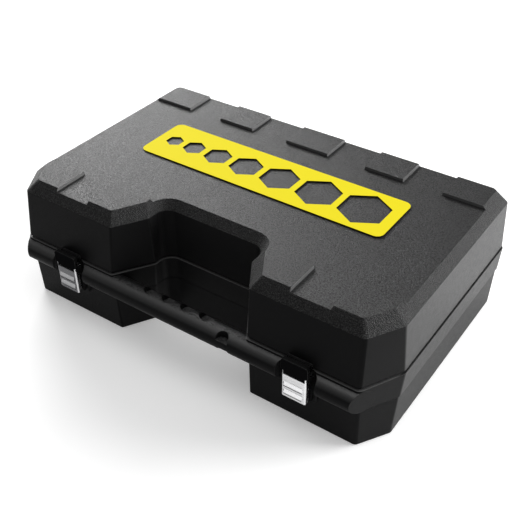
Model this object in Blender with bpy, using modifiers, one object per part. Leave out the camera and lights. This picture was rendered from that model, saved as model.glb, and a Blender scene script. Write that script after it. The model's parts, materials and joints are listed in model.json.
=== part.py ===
"""Socket wrench set in a carrying case: two case halves, draw latches, pin hinges and half-inch drive tools.

Metres, +Z up. The closed case lies on its tray. The origin is on the floor under the middle of the bounding box,
the carry handle faces -Y and runs along X.
"""

import math
from typing import NamedTuple

import bmesh
import bpy
from mathutils import Matrix, Quaternion, Vector

GAP = 0.0004
WALL = 0.0030


class Level(NamedTuple):
    """The case's outline at one height. Every distance is measured from the middle of the case."""

    z: float
    half_width: float
    front: float
    back: float
    corner_x: float
    corner_y: float
    recess_half: float
    recess_back: float
    recess_bend: float
    mouth_half: float
    recess_radius: float


# The outline of the case at its floor, at the parting line, and at the foot and the top of the lid's bevel.
BASE = Level(0.0, 0.2162, 0.1270, 0.1336, 0.0197, 0.0312, 0.0619, 0.0670, 0.0940, 0.0812, 0.014)
PARTING = Level(0.0734, 0.2200, 0.1313, 0.1346, 0.0222, 0.0420, 0.0567, 0.0731, 0.0925, 0.0815, 0.014)
BEVEL = Level(0.1269, 0.2155, 0.1251, 0.1342, 0.0205, 0.0344, 0.0608, 0.0686, 0.0920, 0.0810, 0.014)
TOP = Level(0.1383, 0.2027, 0.1143, 0.1306, 0.0154, 0.0262, 0.0700, 0.0562, 0.0840, 0.0875, 0.023)

BEND_RADIUS = 0.006
MOUTH_RADIUS = 0.003
CORNER_RADIUS = 0.006
BACK_RADIUS = 0.006
ARC_STEPS = 3

# Tray: a bottom edge, a lower wall and a thicker band under the parting line.
FOOT_EDGE = 0.0010
BAND_BOTTOM = 0.0464
BAND_LEDGE = 0.0025
BAND_STEP = 0.0012

# Lid: it stands back a little from the tray's rim, and pads stand on the flat top panel.
RIM_INSET = 0.0010
PANEL_Z = 0.1353
PAD_ROOT = 0.0015
CROWN_INSET = 0.0001
PAD_SLOPE = 0.003

# Roll along the tray's front, which is also the carry handle where it crosses the hand recess.
ROLL_Y = -0.1280
ROLL_Z = 0.0590
ROLL_RADIUS = 0.0120

# Round hollows cored into the bar from above and from below: four for the fingers and one for the thumb.
CORE_HALF = 0.0040
FINGERS_X = (-0.0363, -0.0137, 0.0089, 0.0315)
FINGER_Y = -0.1222
FINGER_RADIUS = 0.0086
THUMB = (0.0584, -0.1381)
THUMB_RADIUS = 0.0068

# Draw latches, each on a flat pad in a pocket of the roll.
LATCHES = (("left", -0.1362), ("right", 0.1385))
POCKET_HALF = 0.0205
POCKET_RADIUS = 0.0080
PAD_Y = -0.1306
PAD_HALF = 0.0170
PAD_BOTTOM = 0.0340
PAD_TOP = 0.0715
LEVER_HALF = 0.0126
HOOK_HALF = 0.0140
KEEPER_HALF = 0.0125
FACE_Y = -0.1405
SHEET = 0.0012
LEVER_BOTTOM = 0.0370
LEVER_TOP = 0.0633
LEVER_PIVOT = (-0.1344, 0.0703)
HOOK_PIVOT = (-0.1386, 0.0656)
KNUCKLE_RADIUS = 0.0019
HOOK_TOP = 0.0810
HOOK_DEPTH_Y = -0.1362
KEEPER_TOP = 0.0788
LOUVRES_Z = (0.0510, 0.0415)
PIN_SIDES = 10
FRONT_REACH = 0.1420

# Pin hinges at the back.
HINGE_X = 0.1200
HINGE_LENGTH = 0.0600
HINGE_LID_LENGTH = 0.0298
HINGE_RADIUS = 0.0035
HINGE_Y = FRONT_REACH - HINGE_RADIUS
HINGE_WEB = 0.0029
HINGE_PIN_RADIUS = 0.0013

# Tool insert: a moulded deck on a skirt, with a cup under each tool.
DECK_Z = 0.0570
DECK = 0.0025
CUP_WALL = 0.0018
CUP_SIDES = 16
INSERT_CLEARANCE = 0.0015

# Sockets, by their width across flats in millimetres.
DRIVE = 0.0127
BACK_ROW = (32, 27, 24, 22, 19, 17, 15, 14)
FRONT_ROW = (13, 12, 11, 10)
BACK_ROW_Y = 0.0920
FRONT_ROW_Y = -0.0940
FRONT_ROW_X = 0.0960
FRONT_ROW_PITCH = 0.0310
BACK_ROW_SPACE = 0.0160
SOCKET_FLOOR = 0.0360
SOCKET_SIDES = 16

# Long tools lie along X in troughs.
RATCHET = Vector((-0.1600, 0.0400, 0.0505))
T_BAR = Vector((0.0, 0.0020, 0.0540))
EXTENSION_LONG = Vector((0.0, -0.0350, 0.0525))
EXTENSION_SHORT = Vector((-0.1367, -0.0870, 0.0525))
JOINT = Vector((0.1650, 0.0200, 0.0700))

CASE_BLACK = ("case_black", (0.018, 0.018, 0.019), 0.5, 0.0)
LATCH_BLACK = ("latch_black", (0.014, 0.014, 0.015), 0.35, 0.3)
BRIGHT_STEEL = ("bright_steel", (0.75, 0.76, 0.77), 0.25, 1.0)
BADGE_YELLOW = ("badge_yellow", (0.88, 0.76, 0.03), 0.45, 0.0)
INSERT_GREY = ("insert_grey", (0.07, 0.07, 0.075), 0.6, 0.0)
TOOL_CHROME = ("tool_chrome", (0.72, 0.73, 0.75), 0.15, 1.0)
GRIP_BLACK = ("grip_black", (0.03, 0.03, 0.032), 0.6, 0.0)


# Building blocks ------------------------------------------------------------------------------------------------------


def clear_scene():
    for item in list(bpy.data.objects):
        bpy.data.objects.remove(item)


def new_collection(name, helper=False):
    collection = bpy.data.collections.new(name)
    collection.hide_render = helper
    bpy.context.scene.collection.children.link(collection)
    return collection


def material(finish):
    name, colour, roughness, metallic = finish
    found = bpy.data.materials.get(name)
    if found:
        return found
    made = bpy.data.materials.new(name)
    made.use_nodes = True
    shader = made.node_tree.nodes["Principled BSDF"]
    shader.inputs["Base Color"].default_value = (*colour, 1.0)
    shader.inputs["Roughness"].default_value = roughness
    shader.inputs["Metallic"].default_value = metallic
    return made


def place(name, mesh, finish=None):
    """Object from a bmesh: a part if it has a finish, or else a helper that cuts or joins other parts."""
    bmesh.ops.recalc_face_normals(mesh, faces=mesh.faces)
    data = bpy.data.meshes.new(name)
    mesh.to_mesh(data)
    mesh.free()
    made = bpy.data.objects.new(name, data)
    if finish:
        data.materials.append(material(finish))
        PARTS.objects.link(made)
    else:
        made.hide_render = True
        made.display_type = "WIRE"
        HELPERS.objects.link(made)
    return made


def smooth(part, angle=35.0):
    part.data.shade_smooth()
    part.data.set_sharp_from_angle(angle=math.radians(angle))
    return part


def boolean(part, operation, *others):
    for other in others:
        modifier = part.modifiers.new(f"{operation.lower()}_{other.name}", "BOOLEAN")
        modifier.operation = operation
        modifier.object = other
    return part


def join(part, *others):
    return boolean(part, "UNION", *others)


def cut(part, *others):
    return boolean(part, "DIFFERENCE", *others)


def box(name, low, high, finish=None):
    low, high = Vector(low), Vector(high)
    mesh = bmesh.new()
    bmesh.ops.create_cube(mesh, size=1.0, matrix=Matrix.LocRotScale((low + high) / 2, None, high - low))
    return place(name, mesh, finish)


def rod(name, start, end, radius, steps=20, end_radius=None, spin=0.0, finish=None):
    """Cylinder, cone or prism of that many sides from start to end, turned by spin about its own axis."""
    start, end = Vector(start), Vector(end)
    way = (end - start).to_track_quat("Z", "Y") @ Quaternion((0, 0, 1), spin)
    mesh = bmesh.new()
    bmesh.ops.create_cone(
        mesh,
        cap_ends=True,
        segments=steps,
        radius1=radius,
        radius2=radius if end_radius is None else end_radius,
        depth=(end - start).length,
        matrix=Matrix.LocRotScale((start + end) / 2, way, None),
    )
    made = place(name, mesh, finish)
    return smooth(made) if steps > 8 else made


def square_bar(name, start, end, side, finish=None):
    return rod(name, start, end, side / math.sqrt(2), 4, spin=math.pi / 4, finish=finish)


def hexagon_bar(name, start, end, across_flats, finish=None):
    return rod(name, start, end, across_flats / math.sqrt(3), 6, finish=finish)


def loft(name, rings, finish=None):
    """Closed solid through rings of equally many points, capped at the first and the last."""
    mesh = bmesh.new()
    loops = [[mesh.verts.new(point) for point in ring] for ring in rings]
    for lower, upper in zip(loops, loops[1:]):
        for i, j in zip(range(-1, len(lower) - 1), range(len(lower))):
            mesh.faces.new((lower[i], lower[j], upper[j], upper[i]))
    mesh.faces.new(reversed(loops[0]))
    mesh.faces.new(loops[-1])
    return place(name, mesh, finish)


def rounded(corners, inset=0.0, steps=ARC_STEPS):
    """Points of an anticlockwise outline given as ((x, y), radius) corners, moved inwards and rounded."""
    points = []
    for index, (corner, radius) in enumerate(corners):
        here = Vector(corner)
        run_in = (here - Vector(corners[index - 1][0])).normalized()
        run_out = (Vector(corners[(index + 1) % len(corners)][0]) - here).normalized()
        normal_in = Vector((-run_in.y, run_in.x))
        normal_out = Vector((-run_out.y, run_out.x))
        mitre = (normal_in + normal_out) / (1 + normal_in.dot(normal_out))
        turn = math.atan2(run_in.cross(run_out), run_in.dot(run_out))
        side = math.copysign(1.0, turn)
        arc = max(radius - side * inset, 0.0005)
        centre = here + mitre * (inset + side * arc)
        for step in range(steps + 1):
            normal = Matrix.Rotation(turn * step / steps, 2) @ normal_in
            points.append(centre - side * arc * normal)
    return points


def slab(name, corners, low, high, axis="Z", finish=None, steps=ARC_STEPS):
    """Rounded flat outline extruded from low to high along an axis; X takes (y, z) and Y takes (z, x) corners."""
    order = {"X": (1, 2, 0), "Y": (2, 0, 1), "Z": (0, 1, 2)}[axis]
    rings = []
    for depth in (low, high):
        ring = []
        for across, up in rounded(corners, steps=steps):
            point = [0.0, 0.0, 0.0]
            for place_in, value in zip(order, (across, up, depth)):
                point[place_in] = value
            ring.append(point)
        rings.append(ring)
    return loft(name, rings, finish)


def turned(name, profile, finish, steps=16, origin=(0, 0, 0), turn=(0, 0, 0), closed=False):
    """Profile of (radius, height) points, outer side running down, turned about the object's Z axis."""
    count = len(profile)
    edges = [(i, i + 1) for i in range(count - 1)] + ([(count - 1, 0)] if closed else [])
    data = bpy.data.meshes.new(name)
    data.from_pydata([(radius, 0.0, height) for radius, height in profile], edges, [])
    made = bpy.data.objects.new(name, data)
    made.location = origin
    made.rotation_euler = turn
    screw = made.modifiers.new("screw", "SCREW")
    screw.steps = screw.render_steps = steps
    screw.use_merge_vertices = True
    screw.merge_threshold = 0.00001
    data.materials.append(material(finish))
    PARTS.objects.link(made)
    return made


# Case halves ----------------------------------------------------------------------------------------------------------


def between(lower, upper, z):
    share = (z - lower.z) / (upper.z - lower.z)
    return Level(*(a + (b - a) * share for a, b in zip(lower, upper)))


def outline(level, inset=0.0, z=None):
    """The case's rounded outline at a level, moved inwards by inset and set at height z."""
    right = [
        ((level.recess_half, -level.recess_back), level.recess_radius),
        ((level.recess_half, -level.recess_bend), BEND_RADIUS),
        ((level.mouth_half, -level.front), MOUTH_RADIUS),
        ((level.half_width - level.corner_x, -level.front), CORNER_RADIUS),
        ((level.half_width, level.corner_y - level.front), CORNER_RADIUS),
        ((level.half_width, level.back), BACK_RADIUS),
    ]
    left = [((-x, y), radius) for (x, y), radius in reversed(right)]
    height = level.z if z is None else z
    return [(x, y, height) for x, y in rounded(right + left, inset)]


def roll():
    """Round roll with both ends cut flush with the case's corner chamfers."""
    slope = PARTING.corner_x / PARTING.corner_y
    edge_x = PARTING.half_width - PARTING.corner_x

    def end_x(y):
        return edge_x + (y + PARTING.front) * slope

    near, far = ROLL_Y - 2 * ROLL_RADIUS, ROLL_Y + 2 * ROLL_RADIUS
    corners = [((-end_x(near), near), 0), ((end_x(near), near), 0), ((end_x(far), far), 0), ((-end_x(far), far), 0)]
    ends = slab("roll_ends", corners, ROLL_Z - 2 * ROLL_RADIUS, ROLL_Z + 2 * ROLL_RADIUS, steps=1)
    reach = PARTING.half_width
    made = rod("roll", (-reach, ROLL_Y, ROLL_Z), (reach, ROLL_Y, ROLL_Z), ROLL_RADIUS, 28)
    return boolean(made, "INTERSECT", ends)


def handle_hollows():
    """Blind round hollows in the bar's upper and lower sides."""
    spots = [(x, FINGER_Y, FINGER_RADIUS) for x in FINGERS_X] + [(*THUMB, THUMB_RADIUS)]
    hollows = []
    for index, (x, y, radius) in enumerate(spots):
        for tag, way in (("top", 1), ("under", -1)):
            start, end = (x, y, ROLL_Z + way * CORE_HALF), (x, y, ROLL_Z + way * 2 * ROLL_RADIUS)
            hollows.append(rod(f"hollow_{index + 1}_{tag}", start, end, radius, 18))
    return hollows


def hinge_knuckles(name, centre_x, spans, low_z, high_z):
    """Knuckles round the hinge axis, each joined to the wall by a web between two heights."""
    made = []
    for index, (start, end) in enumerate(spans):
        start, end = centre_x + start, centre_x + end
        knuckle = rod(f"{name}_{index}", (start, HINGE_Y, PARTING.z), (end, HINGE_Y, PARTING.z), HINGE_RADIUS, 16)
        web = box(f"{name}_web_{index}", (start, PARTING.back - 0.002, low_z), (end, HINGE_Y, high_z))
        made += [knuckle, web]
    return made


def hinge_bore(name, centre_x):
    reach = HINGE_LENGTH
    start, end = (centre_x - reach, HINGE_Y, PARTING.z), (centre_x + reach, HINGE_Y, PARTING.z)
    return rod(name, start, end, HINGE_PIN_RADIUS + GAP, 12)


def tray_shell():
    ledge = BAND_BOTTOM - BAND_LEDGE
    rings = [
        outline(BASE, FOOT_EDGE),
        outline(between(BASE, PARTING, FOOT_EDGE), BAND_STEP / 4),
        outline(between(BASE, PARTING, ledge), BAND_STEP),
        outline(between(BASE, PARTING, BAND_BOTTOM)),
        outline(PARTING, z=PARTING.z - GAP / 2),
    ]
    tray = loft("tray_shell", rings, CASE_BLACK)
    cavity_rings = [
        outline(between(BASE, PARTING, WALL), WALL + BAND_STEP),
        outline(between(BASE, PARTING, ledge), WALL + BAND_STEP / 2),
        outline(PARTING, WALL, PARTING.z + WALL),
    ]
    cavity = loft("tray_cavity", cavity_rings)
    join(tray, roll())
    floor = PAD_Y + 0.0005
    for side, x in LATCHES:
        pocket = [((x - POCKET_HALF, -0.17), 0), ((x + POCKET_HALF, -0.17), 0),
                  ((x + POCKET_HALF, floor), POCKET_RADIUS), ((x - POCKET_HALF, floor), POCKET_RADIUS)]
        cut(tray, slab(f"latch_pocket_{side}", pocket, PAD_BOTTOM - WALL, PARTING.z + WALL))
        low, high = (x - PAD_HALF, PAD_Y, PAD_BOTTOM), (x + PAD_HALF, PAD_Y + 0.007, PAD_TOP)
        join(tray, box(f"latch_pad_{side}", low, high))
    cut(tray, cavity, *handle_hollows())
    half, inner = HINGE_LENGTH / 2, HINGE_LID_LENGTH / 2 + GAP
    for side, x in (("left", -HINGE_X), ("right", HINGE_X)):
        spans = ((-half, -inner), (inner, half))
        top = PARTING.z - GAP
        join(tray, *hinge_knuckles(f"tray_knuckle_{side}", x, spans, PARTING.z - HINGE_WEB, top))
        cut(tray, hinge_bore(f"tray_bore_{side}", x))
    return smooth(tray)


def pad_blocks():
    """Raised pads round the lid's top: their outer sides carry on the bevel, and their inner sides slope."""
    back, front = TOP.back - 0.0351, -TOP.front + 0.0350
    wide, deep = TOP.half_width + 0.02, TOP.back + 0.02
    back_row = (-wide, -0.1580), (-0.1110, -0.0710), (-0.0220, 0.0260), (0.0750, 0.1150), (0.1620, wide)
    front_row = (-wide, -0.1605), (-0.1155, -0.0600), (0.0600, 0.1155), (0.1605, wide)
    rows = [(low, high, back, deep) for low, high in back_row]
    rows += [(low, high, -deep, front) for low, high in front_row]
    mesh = bmesh.new()
    for x_low, x_high, y_low, y_high in rows:
        centre = Vector(((x_low + x_high) / 2, (y_low + y_high) / 2, TOP.z))
        size = Vector((x_high - x_low, y_high - y_low, 2 * (TOP.z - PANEL_Z + 2 * PAD_ROOT)))
        cube = bmesh.ops.create_cube(mesh, size=1.0, matrix=Matrix.LocRotScale(centre, None, size))
        for vert in cube["verts"]:
            if vert.co.z < TOP.z:
                outward = (vert.co - centre).to_2d()
                vert.co.x += math.copysign(PAD_SLOPE, outward.x)
                vert.co.y += math.copysign(PAD_SLOPE, outward.y)
    return place("pad_blocks", mesh)


def lid_shell():
    panel = between(BEVEL, TOP, PANEL_Z)
    rings = [outline(PARTING, RIM_INSET, PARTING.z + GAP / 2), outline(BEVEL), outline(panel)]
    lid = loft("lid_shell", rings, CASE_BLACK)
    ceiling = PANEL_Z - WALL
    cavity_rings = [
        outline(PARTING, WALL + RIM_INSET, PARTING.z - WALL),
        outline(BEVEL, WALL + RIM_INSET / 2),
        outline(between(BEVEL, TOP, ceiling), WALL),
    ]
    crown_rings = [outline(between(BEVEL, TOP, PANEL_Z - PAD_ROOT), CROWN_INSET), outline(TOP, CROWN_INSET)]
    join(lid, boolean(loft("pad_crown", crown_rings), "INTERSECT", pad_blocks()))
    for side, x in LATCHES:
        low = (x - KEEPER_HALF, PAD_Y - 0.0004, PARTING.z + 0.0010)
        join(lid, box(f"keeper_pad_{side}", low, (x + KEEPER_HALF, PAD_Y + 0.005, KEEPER_TOP)))
    cut(lid, loft("lid_cavity", cavity_rings))
    half = HINGE_LID_LENGTH / 2
    for side, x in (("left", -HINGE_X), ("right", HINGE_X)):
        low = PARTING.z + GAP
        join(lid, *hinge_knuckles(f"lid_knuckle_{side}", x, ((-half, half),), low, PARTING.z + HINGE_WEB))
        cut(lid, hinge_bore(f"lid_bore_{side}", x))
    return smooth(lid)


def hinge_pins():
    half = HINGE_LENGTH / 2 - 0.0005
    for side, x in (("left", -HINGE_X), ("right", HINGE_X)):
        start, end = (x - half, HINGE_Y, PARTING.z), (x + half, HINGE_Y, PARTING.z)
        rod(f"hinge_pin_{side}", start, end, HINGE_PIN_RADIUS, 12, finish=BRIGHT_STEEL)


def lid_badge():
    """Yellow plate with a row of hexagonal windows that grow like the sockets inside."""
    centre, half_x, half_y, radius = Vector((0.0, 0.0270)), 0.1450, 0.0340, 0.0080
    low, high = PANEL_Z + GAP, PANEL_Z + 0.0014
    corners = [((centre.x + x * half_x, centre.y + y * half_y), radius)
               for x, y in ((-1, -1), (1, -1), (1, 1), (-1, 1))]
    badge = slab("lid_badge", corners, low, high, finish=BADGE_YELLOW)
    x = -0.1330
    for index in range(7):
        across = 0.0170 + 0.0050 * index
        x += across / 2
        window = hexagon_bar(f"badge_window_{index + 1}", (x, centre.y, low - WALL), (x, centre.y, high + WALL), across)
        cut(badge, window)
        x += across / 2 + 0.0070
    return badge


# Latches --------------------------------------------------------------------------------------------------------------


def pivot_bore(name, x, pivot, radius):
    return rod(name, (x - 0.02, *pivot), (x + 0.02, *pivot), radius, PIN_SIDES)


def latch_bracket(side, x):
    """Base plate with two side walls that carry the lever's pin."""
    back, ear_inside, ear_outside = PAD_Y - 0.0003, LEVER_HALF + GAP, LEVER_HALF + 0.0019
    low = (x - ear_outside, back - SHEET, LEVER_BOTTOM)
    bracket = box(f"latch_bracket_{side}", low, (x + ear_outside, back, 0.0620), LATCH_BLACK)
    corners = [((back, LEVER_BOTTOM), 0), ((back, 0.0728), 0.0005), ((-0.1386, 0.0728), 0.0015),
               ((-0.1386, 0.0640), 0.0020), ((-0.1345, 0.0590), 0.0020), ((-0.1345, LEVER_BOTTOM), 0.0015)]
    for name, start in (("a", x - ear_outside), ("b", x + ear_inside)):
        join(bracket, slab(f"bracket_ear_{side}_{name}", corners, start, start + ear_outside - ear_inside, "X", steps=1))
    return cut(bracket, pivot_bore(f"bracket_bore_{side}", x, LEVER_PIVOT, 0.0011 + GAP))


def latch_lever(side, x):
    """Pressed sheet lever: a face with two louvres, folded sides, and arms up to the two pins."""
    face_low = (x - LEVER_HALF, FACE_Y, LEVER_BOTTOM)
    lever = box(f"latch_lever_{side}", face_low, (x + LEVER_HALF, FACE_Y + SHEET, LEVER_TOP), BRIGHT_STEEL)
    pivot_y, pivot_z = LEVER_PIVOT
    hook_y, hook_z = HOOK_PIVOT
    corners = [
        ((FACE_Y, LEVER_BOTTOM), 0.0006),
        ((-0.1352, LEVER_BOTTOM), 0.0015),
        ((-0.1352, 0.0625), 0.0020),
        ((pivot_y + 0.0022, pivot_z - 0.0026), 0.0020),
        ((pivot_y + 0.0022, pivot_z + 0.0022), 0.0020),
        ((pivot_y - 0.0022, pivot_z + 0.0022), 0.0020),
        ((hook_y + 0.0016, hook_z + 0.0026), 0.0015),
        ((hook_y - 0.0019, hook_z + 0.0018), 0.0015),
    ]
    for name, start in (("a", x - LEVER_HALF), ("b", x + LEVER_HALF - SHEET)):
        join(lever, slab(f"lever_side_{side}_{name}", corners, start, start + SHEET, "X", steps=2))
    for index, lip_z in enumerate(LOUVRES_Z):
        root = FACE_Y + SHEET / 2
        louvre = [((root, lip_z), 0), ((root, lip_z + 0.0078), 0), ((-FRONT_REACH, lip_z + 0.0012), 0.0005),
                  ((-FRONT_REACH, lip_z), 0.0003)]
        join(lever, slab(f"louvre_{side}_{index + 1}", louvre, x - 0.0096, x + 0.0096, "X", steps=1))
    cut(lever, pivot_bore(f"lever_bore_{side}", x, LEVER_PIVOT, 0.0011 + GAP))
    return cut(lever, pivot_bore(f"lever_hook_bore_{side}", x, HOOK_PIVOT, 0.0009 + GAP))


def latch_hook(side, x):
    """Catch hinged on the lever: a plate with a shallow cap, whose top is the lip that faces the lid's keeper."""
    thick, neck = 0.0015, LEVER_HALF - SHEET - GAP
    low, cap_low = HOOK_PIVOT[1] + 0.0022, PARTING.z + 0.0008

    def upright(name, inset, bottom, near, far, finish=None):
        half, top = HOOK_HALF - inset, HOOK_TOP - inset
        corners = [((bottom, x - half), 0.0006), ((top, x - half), 0.0030 - inset),
                   ((top, x + half), 0.0030 - inset), ((bottom, x + half), 0.0006)]
        return slab(f"{name}_{side}", corners, near, far, "Y", finish)

    hook = upright("latch_hook", 0.0, low, FACE_Y, HOOK_DEPTH_Y, LATCH_BLACK)
    below = (x - 2 * HOOK_HALF, FACE_Y + thick, low - WALL), (x + 2 * HOOK_HALF, HOOK_DEPTH_Y + WALL, cap_low)
    cut(hook, box(f"hook_below_{side}", *below))
    cut(hook, upright("hook_room", SHEET, low - WALL, FACE_Y + thick, HOOK_DEPTH_Y + WALL))
    knuckle = rod(f"hook_knuckle_{side}", (x - neck, *HOOK_PIVOT), (x + neck, *HOOK_PIVOT), KNUCKLE_RADIUS, 16)
    web = box(f"hook_neck_{side}", (x - neck, FACE_Y, HOOK_PIVOT[1]), (x + neck, FACE_Y + thick, low + 0.001))
    join(hook, web, knuckle)
    return cut(hook, pivot_bore(f"hook_bore_{side}", x, HOOK_PIVOT, 0.0009 + GAP * 0.75))


def latch_keeper(side, x):
    """Black plate on the lid with a ledge that the hook's lip pulls on."""
    back, low = PAD_Y - 0.0004 - GAP, PARTING.z + 0.0008
    high = (x + KEEPER_HALF, back, KEEPER_TOP)
    plate = box(f"latch_keeper_{side}", (x - KEEPER_HALF, back - SHEET, low), high, LATCH_BLACK)
    ledge = box(f"keeper_ledge_{side}", (x - 0.0110, -0.1357, 0.0762), (x + 0.0110, back - SHEET / 2, 0.0782))
    return join(plate, ledge)


def latches():
    for side, x in LATCHES:
        latch_bracket(side, x)
        latch_lever(side, x)
        latch_hook(side, x)
        latch_keeper(side, x)
        reach = LEVER_HALF + 0.0017
        rod(f"latch_pin_{side}", (x - reach, *LEVER_PIVOT), (x + reach, *LEVER_PIVOT), 0.0011, PIN_SIDES, finish=BRIGHT_STEEL)
        reach = LEVER_HALF - 0.0002
        rod(f"hook_pin_{side}", (x - reach, *HOOK_PIVOT), (x + reach, *HOOK_PIVOT), 0.0009, PIN_SIDES, finish=BRIGHT_STEEL)


# Tools ----------------------------------------------------------------------------------------------------------------


def socket_radius(size):
    """Radius of a socket's hexagon end, from its size across flats in millimetres."""
    return (1.3 * size + 2.0) / 2000


def drive_radius(size):
    """Radius of a socket's drive end, which is never smaller than the square needs."""
    return 0.0110 + 0.25 * max(0.0, socket_radius(size) - 0.0110)


def socket_length(size):
    return 0.038 if size <= 24 else 0.044


def socket_places():
    """Where each socket stands: the large ones in a row at the back, the small ones at the front right."""
    widths = {size: 2 * max(socket_radius(size), drive_radius(size)) for size in BACK_ROW}
    total = sum(widths.values()) + BACK_ROW_SPACE * (len(BACK_ROW) - 1)
    places, x = {}, -total / 2
    for size in BACK_ROW:
        places[size] = Vector((x + widths[size] / 2, BACK_ROW_Y, SOCKET_FLOOR))
        x += widths[size] + BACK_ROW_SPACE
    for index, size in enumerate(FRONT_ROW):
        places[size] = Vector((FRONT_ROW_X + index * FRONT_ROW_PITCH, FRONT_ROW_Y, SOCKET_FLOOR))
    return places


def socket(size, spot):
    length, wide, narrow, edge = socket_length(size), socket_radius(size), drive_radius(size), 0.0010
    profile = [
        (wide - edge, length), (wide, length - edge), (wide, 0.45 * length), (narrow, 0.35 * length),
        (narrow, edge), (narrow - edge, 0.0), (0.0040, 0.0), (0.0040, length),
    ]
    name = f"socket_{size}"
    made = turned(name, profile, TOOL_CHROME, SOCKET_SIDES, spot + Vector((0, 0, GAP)), closed=True)
    low, high = spot + Vector((0, 0, -WALL)), spot + Vector((0, 0, length + WALL))
    cut(made, square_bar(f"{name}_drive", low, spot + Vector((0, 0, 0.0145)), DRIVE + 0.0002))
    return cut(made, hexagon_bar(f"{name}_hexagon", spot + Vector((0, 0, 0.55 * length)), high, size / 1000))


def ratchet():
    x, y, z = RATCHET
    head, bore, gear_r = 0.0190, 0.0132, 0.0126
    bottom, top = z - 0.0085, z + 0.0085
    shank = 0.0068
    body = rod("ratchet_body", (x, y, bottom), (x, y, top), head, 32, finish=TOOL_CHROME)
    neck_end = x + 0.0700
    neck = rod("ratchet_neck", (x + 0.008, y, z), (neck_end, y, z), 0.0079, 16, end_radius=shank - 0.0008)
    tang = rod("ratchet_tang", (neck_end - 0.020, y, z), (x + 0.2355, y, z), shank, 16)
    join(body, neck, tang)
    cut(body, rod("ratchet_bore", (x, y, bottom - WALL), (x, y, top - 0.0030), bore, 32))
    cut(body, box("ratchet_pawl_room", (x + 0.010, y - 0.0062, bottom + 0.003), (x + 0.0182, y + 0.0062, top - 0.0037)))
    cut(body, rod("ratchet_spindle_bore", (x, y, z), (x, y, top + WALL), 0.0052, 16))

    gear = turned_gear("ratchet_gear", x, y, bottom + 0.001, top - 0.0035, gear_r)
    drive_low = bottom - 0.0150
    join(gear, square_bar("gear_drive", (x, y, drive_low), (x, y, bottom + 0.002), DRIVE - 0.0002))
    join(gear, rod("gear_collar", (x, y, bottom - 0.0010), (x, y, bottom + 0.002), 0.0105, 24))
    cut(gear, rod("gear_bore", (x, y, z - 0.004), (x, y, top + WALL), 0.0043, 16))

    pawl = box("ratchet_pawl", (x + 0.0135, y - 0.0055, bottom + 0.0035), (x + 0.0176, y + 0.0055, top - 0.0042), BRIGHT_STEEL)
    cut(pawl, rod("pawl_round", (x, y, bottom), (x, y, top), 0.0138, 32))

    cover_low = top + GAP
    cover = rod("ratchet_cover", (x, y, cover_low), (x, y, cover_low + 0.0012), 0.0165, 32, finish=BRIGHT_STEEL)
    cut(cover, rod("cover_bore", (x, y, cover_low - WALL), (x, y, cover_low + WALL), 0.0052, 16))

    dial_low = cover_low + 0.0012 + GAP
    dial = rod("ratchet_selector", (x, y, dial_low), (x, y, dial_low + 0.0024), 0.0085, 24, finish=GRIP_BLACK)
    tab = [((x + 0.004, y - 0.0035), 0.0005), ((x + 0.0155, y - 0.0022), 0.002),
           ((x + 0.0155, y + 0.0022), 0.002), ((x + 0.004, y + 0.0035), 0.0005)]
    join(dial, slab("selector_tab", tab, dial_low, dial_low + 0.0024))
    cut(dial, rod("selector_bore", (x, y, dial_low - WALL), (x, y, dial_low + WALL), 0.0044, 16))

    rod("ratchet_button", (x, y, z), (x, y, dial_low + 0.0036), 0.0038, 16, finish=BRIGHT_STEEL)

    start, end = x + 0.1050, x + 0.2400
    ridge, waist, nose = 0.0140, 0.0125, 0.0105
    length = end - start
    cap = 0.0040
    profile = [(0.0, length), (0.0115, length), (ridge, 0.85 * length), (waist, 0.45 * length), (ridge, 0.12 * length),
               (nose, 0.0), (shank + GAP, 0.0), (shank + GAP, length - cap), (0.0, length - cap)]
    return turned("ratchet_grip", profile, GRIP_BLACK, 16, (start, y, z), (0, math.pi / 2, 0))


def turned_gear(name, x, y, low, high, radius):
    """Gear blank with small ratchet teeth all round."""
    teeth, depth = 36, 0.0006
    rings = []
    for z in (low, high):
        ring = []
        for step in range(2 * teeth):
            angle = math.pi * step / teeth
            reach = radius - depth * (step % 2)
            ring.append((x + reach * math.cos(angle), y + reach * math.sin(angle), z))
        rings.append(ring)
    return loft(name, rings, BRIGHT_STEEL)


def extension(name, centre, length):
    """Drive extension along X: a socket end at -X and a square drive end at +X."""
    half, tip, collar = length / 2, 0.0140, 0.0092
    run = length - tip
    profile = [(0.0, run), (collar - 0.001, run), (collar, run - 0.001), (collar, run - 0.010), (0.0068, run - 0.014),
               (0.0068, 0.030), (0.0108, 0.024), (0.0108, 0.001), (0.0098, 0.0), (0.0, 0.0)]
    start = centre - Vector((half, 0, 0))
    bar = turned(name, profile, TOOL_CHROME, 16, start, (0, math.pi / 2, 0))
    end = centre + Vector((half, 0, 0))
    join(bar, square_bar(f"{name}_tip", end - Vector((tip + 0.004, 0, 0)), end, DRIVE - 0.0002))
    return cut(bar, square_bar(f"{name}_mouth", start - Vector((WALL, 0, 0)), start + Vector((0.0160, 0, 0)), DRIVE + 0.0002))


def t_bar():
    x, y, z = T_BAR
    half, stop = 0.1250, 0.0060
    rod_part = rod("t_bar_rod", (x - half, y, z), (x + half, y, z), 0.0058, 20, finish=TOOL_CHROME)
    for name, end in (("a", -1), ("b", 1)):
        start = (x + end * half, y, z)
        inner = (x + end * (half - stop), y, z)
        join(rod_part, rod(f"t_bar_stop_{name}", start, inner, 0.0068, 20))
    head = rod("t_bar_head", (x, y, z - 0.0110), (x, y, z + 0.0098), 0.0112, 24, finish=TOOL_CHROME)
    join(head, square_bar("t_bar_drive", (x, y, z - 0.0250), (x, y, z - 0.0100), DRIVE - 0.0002))
    cut(head, rod("t_bar_head_bore", (x - 0.02, y, z), (x + 0.02, y, z), 0.0062, 20))


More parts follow.
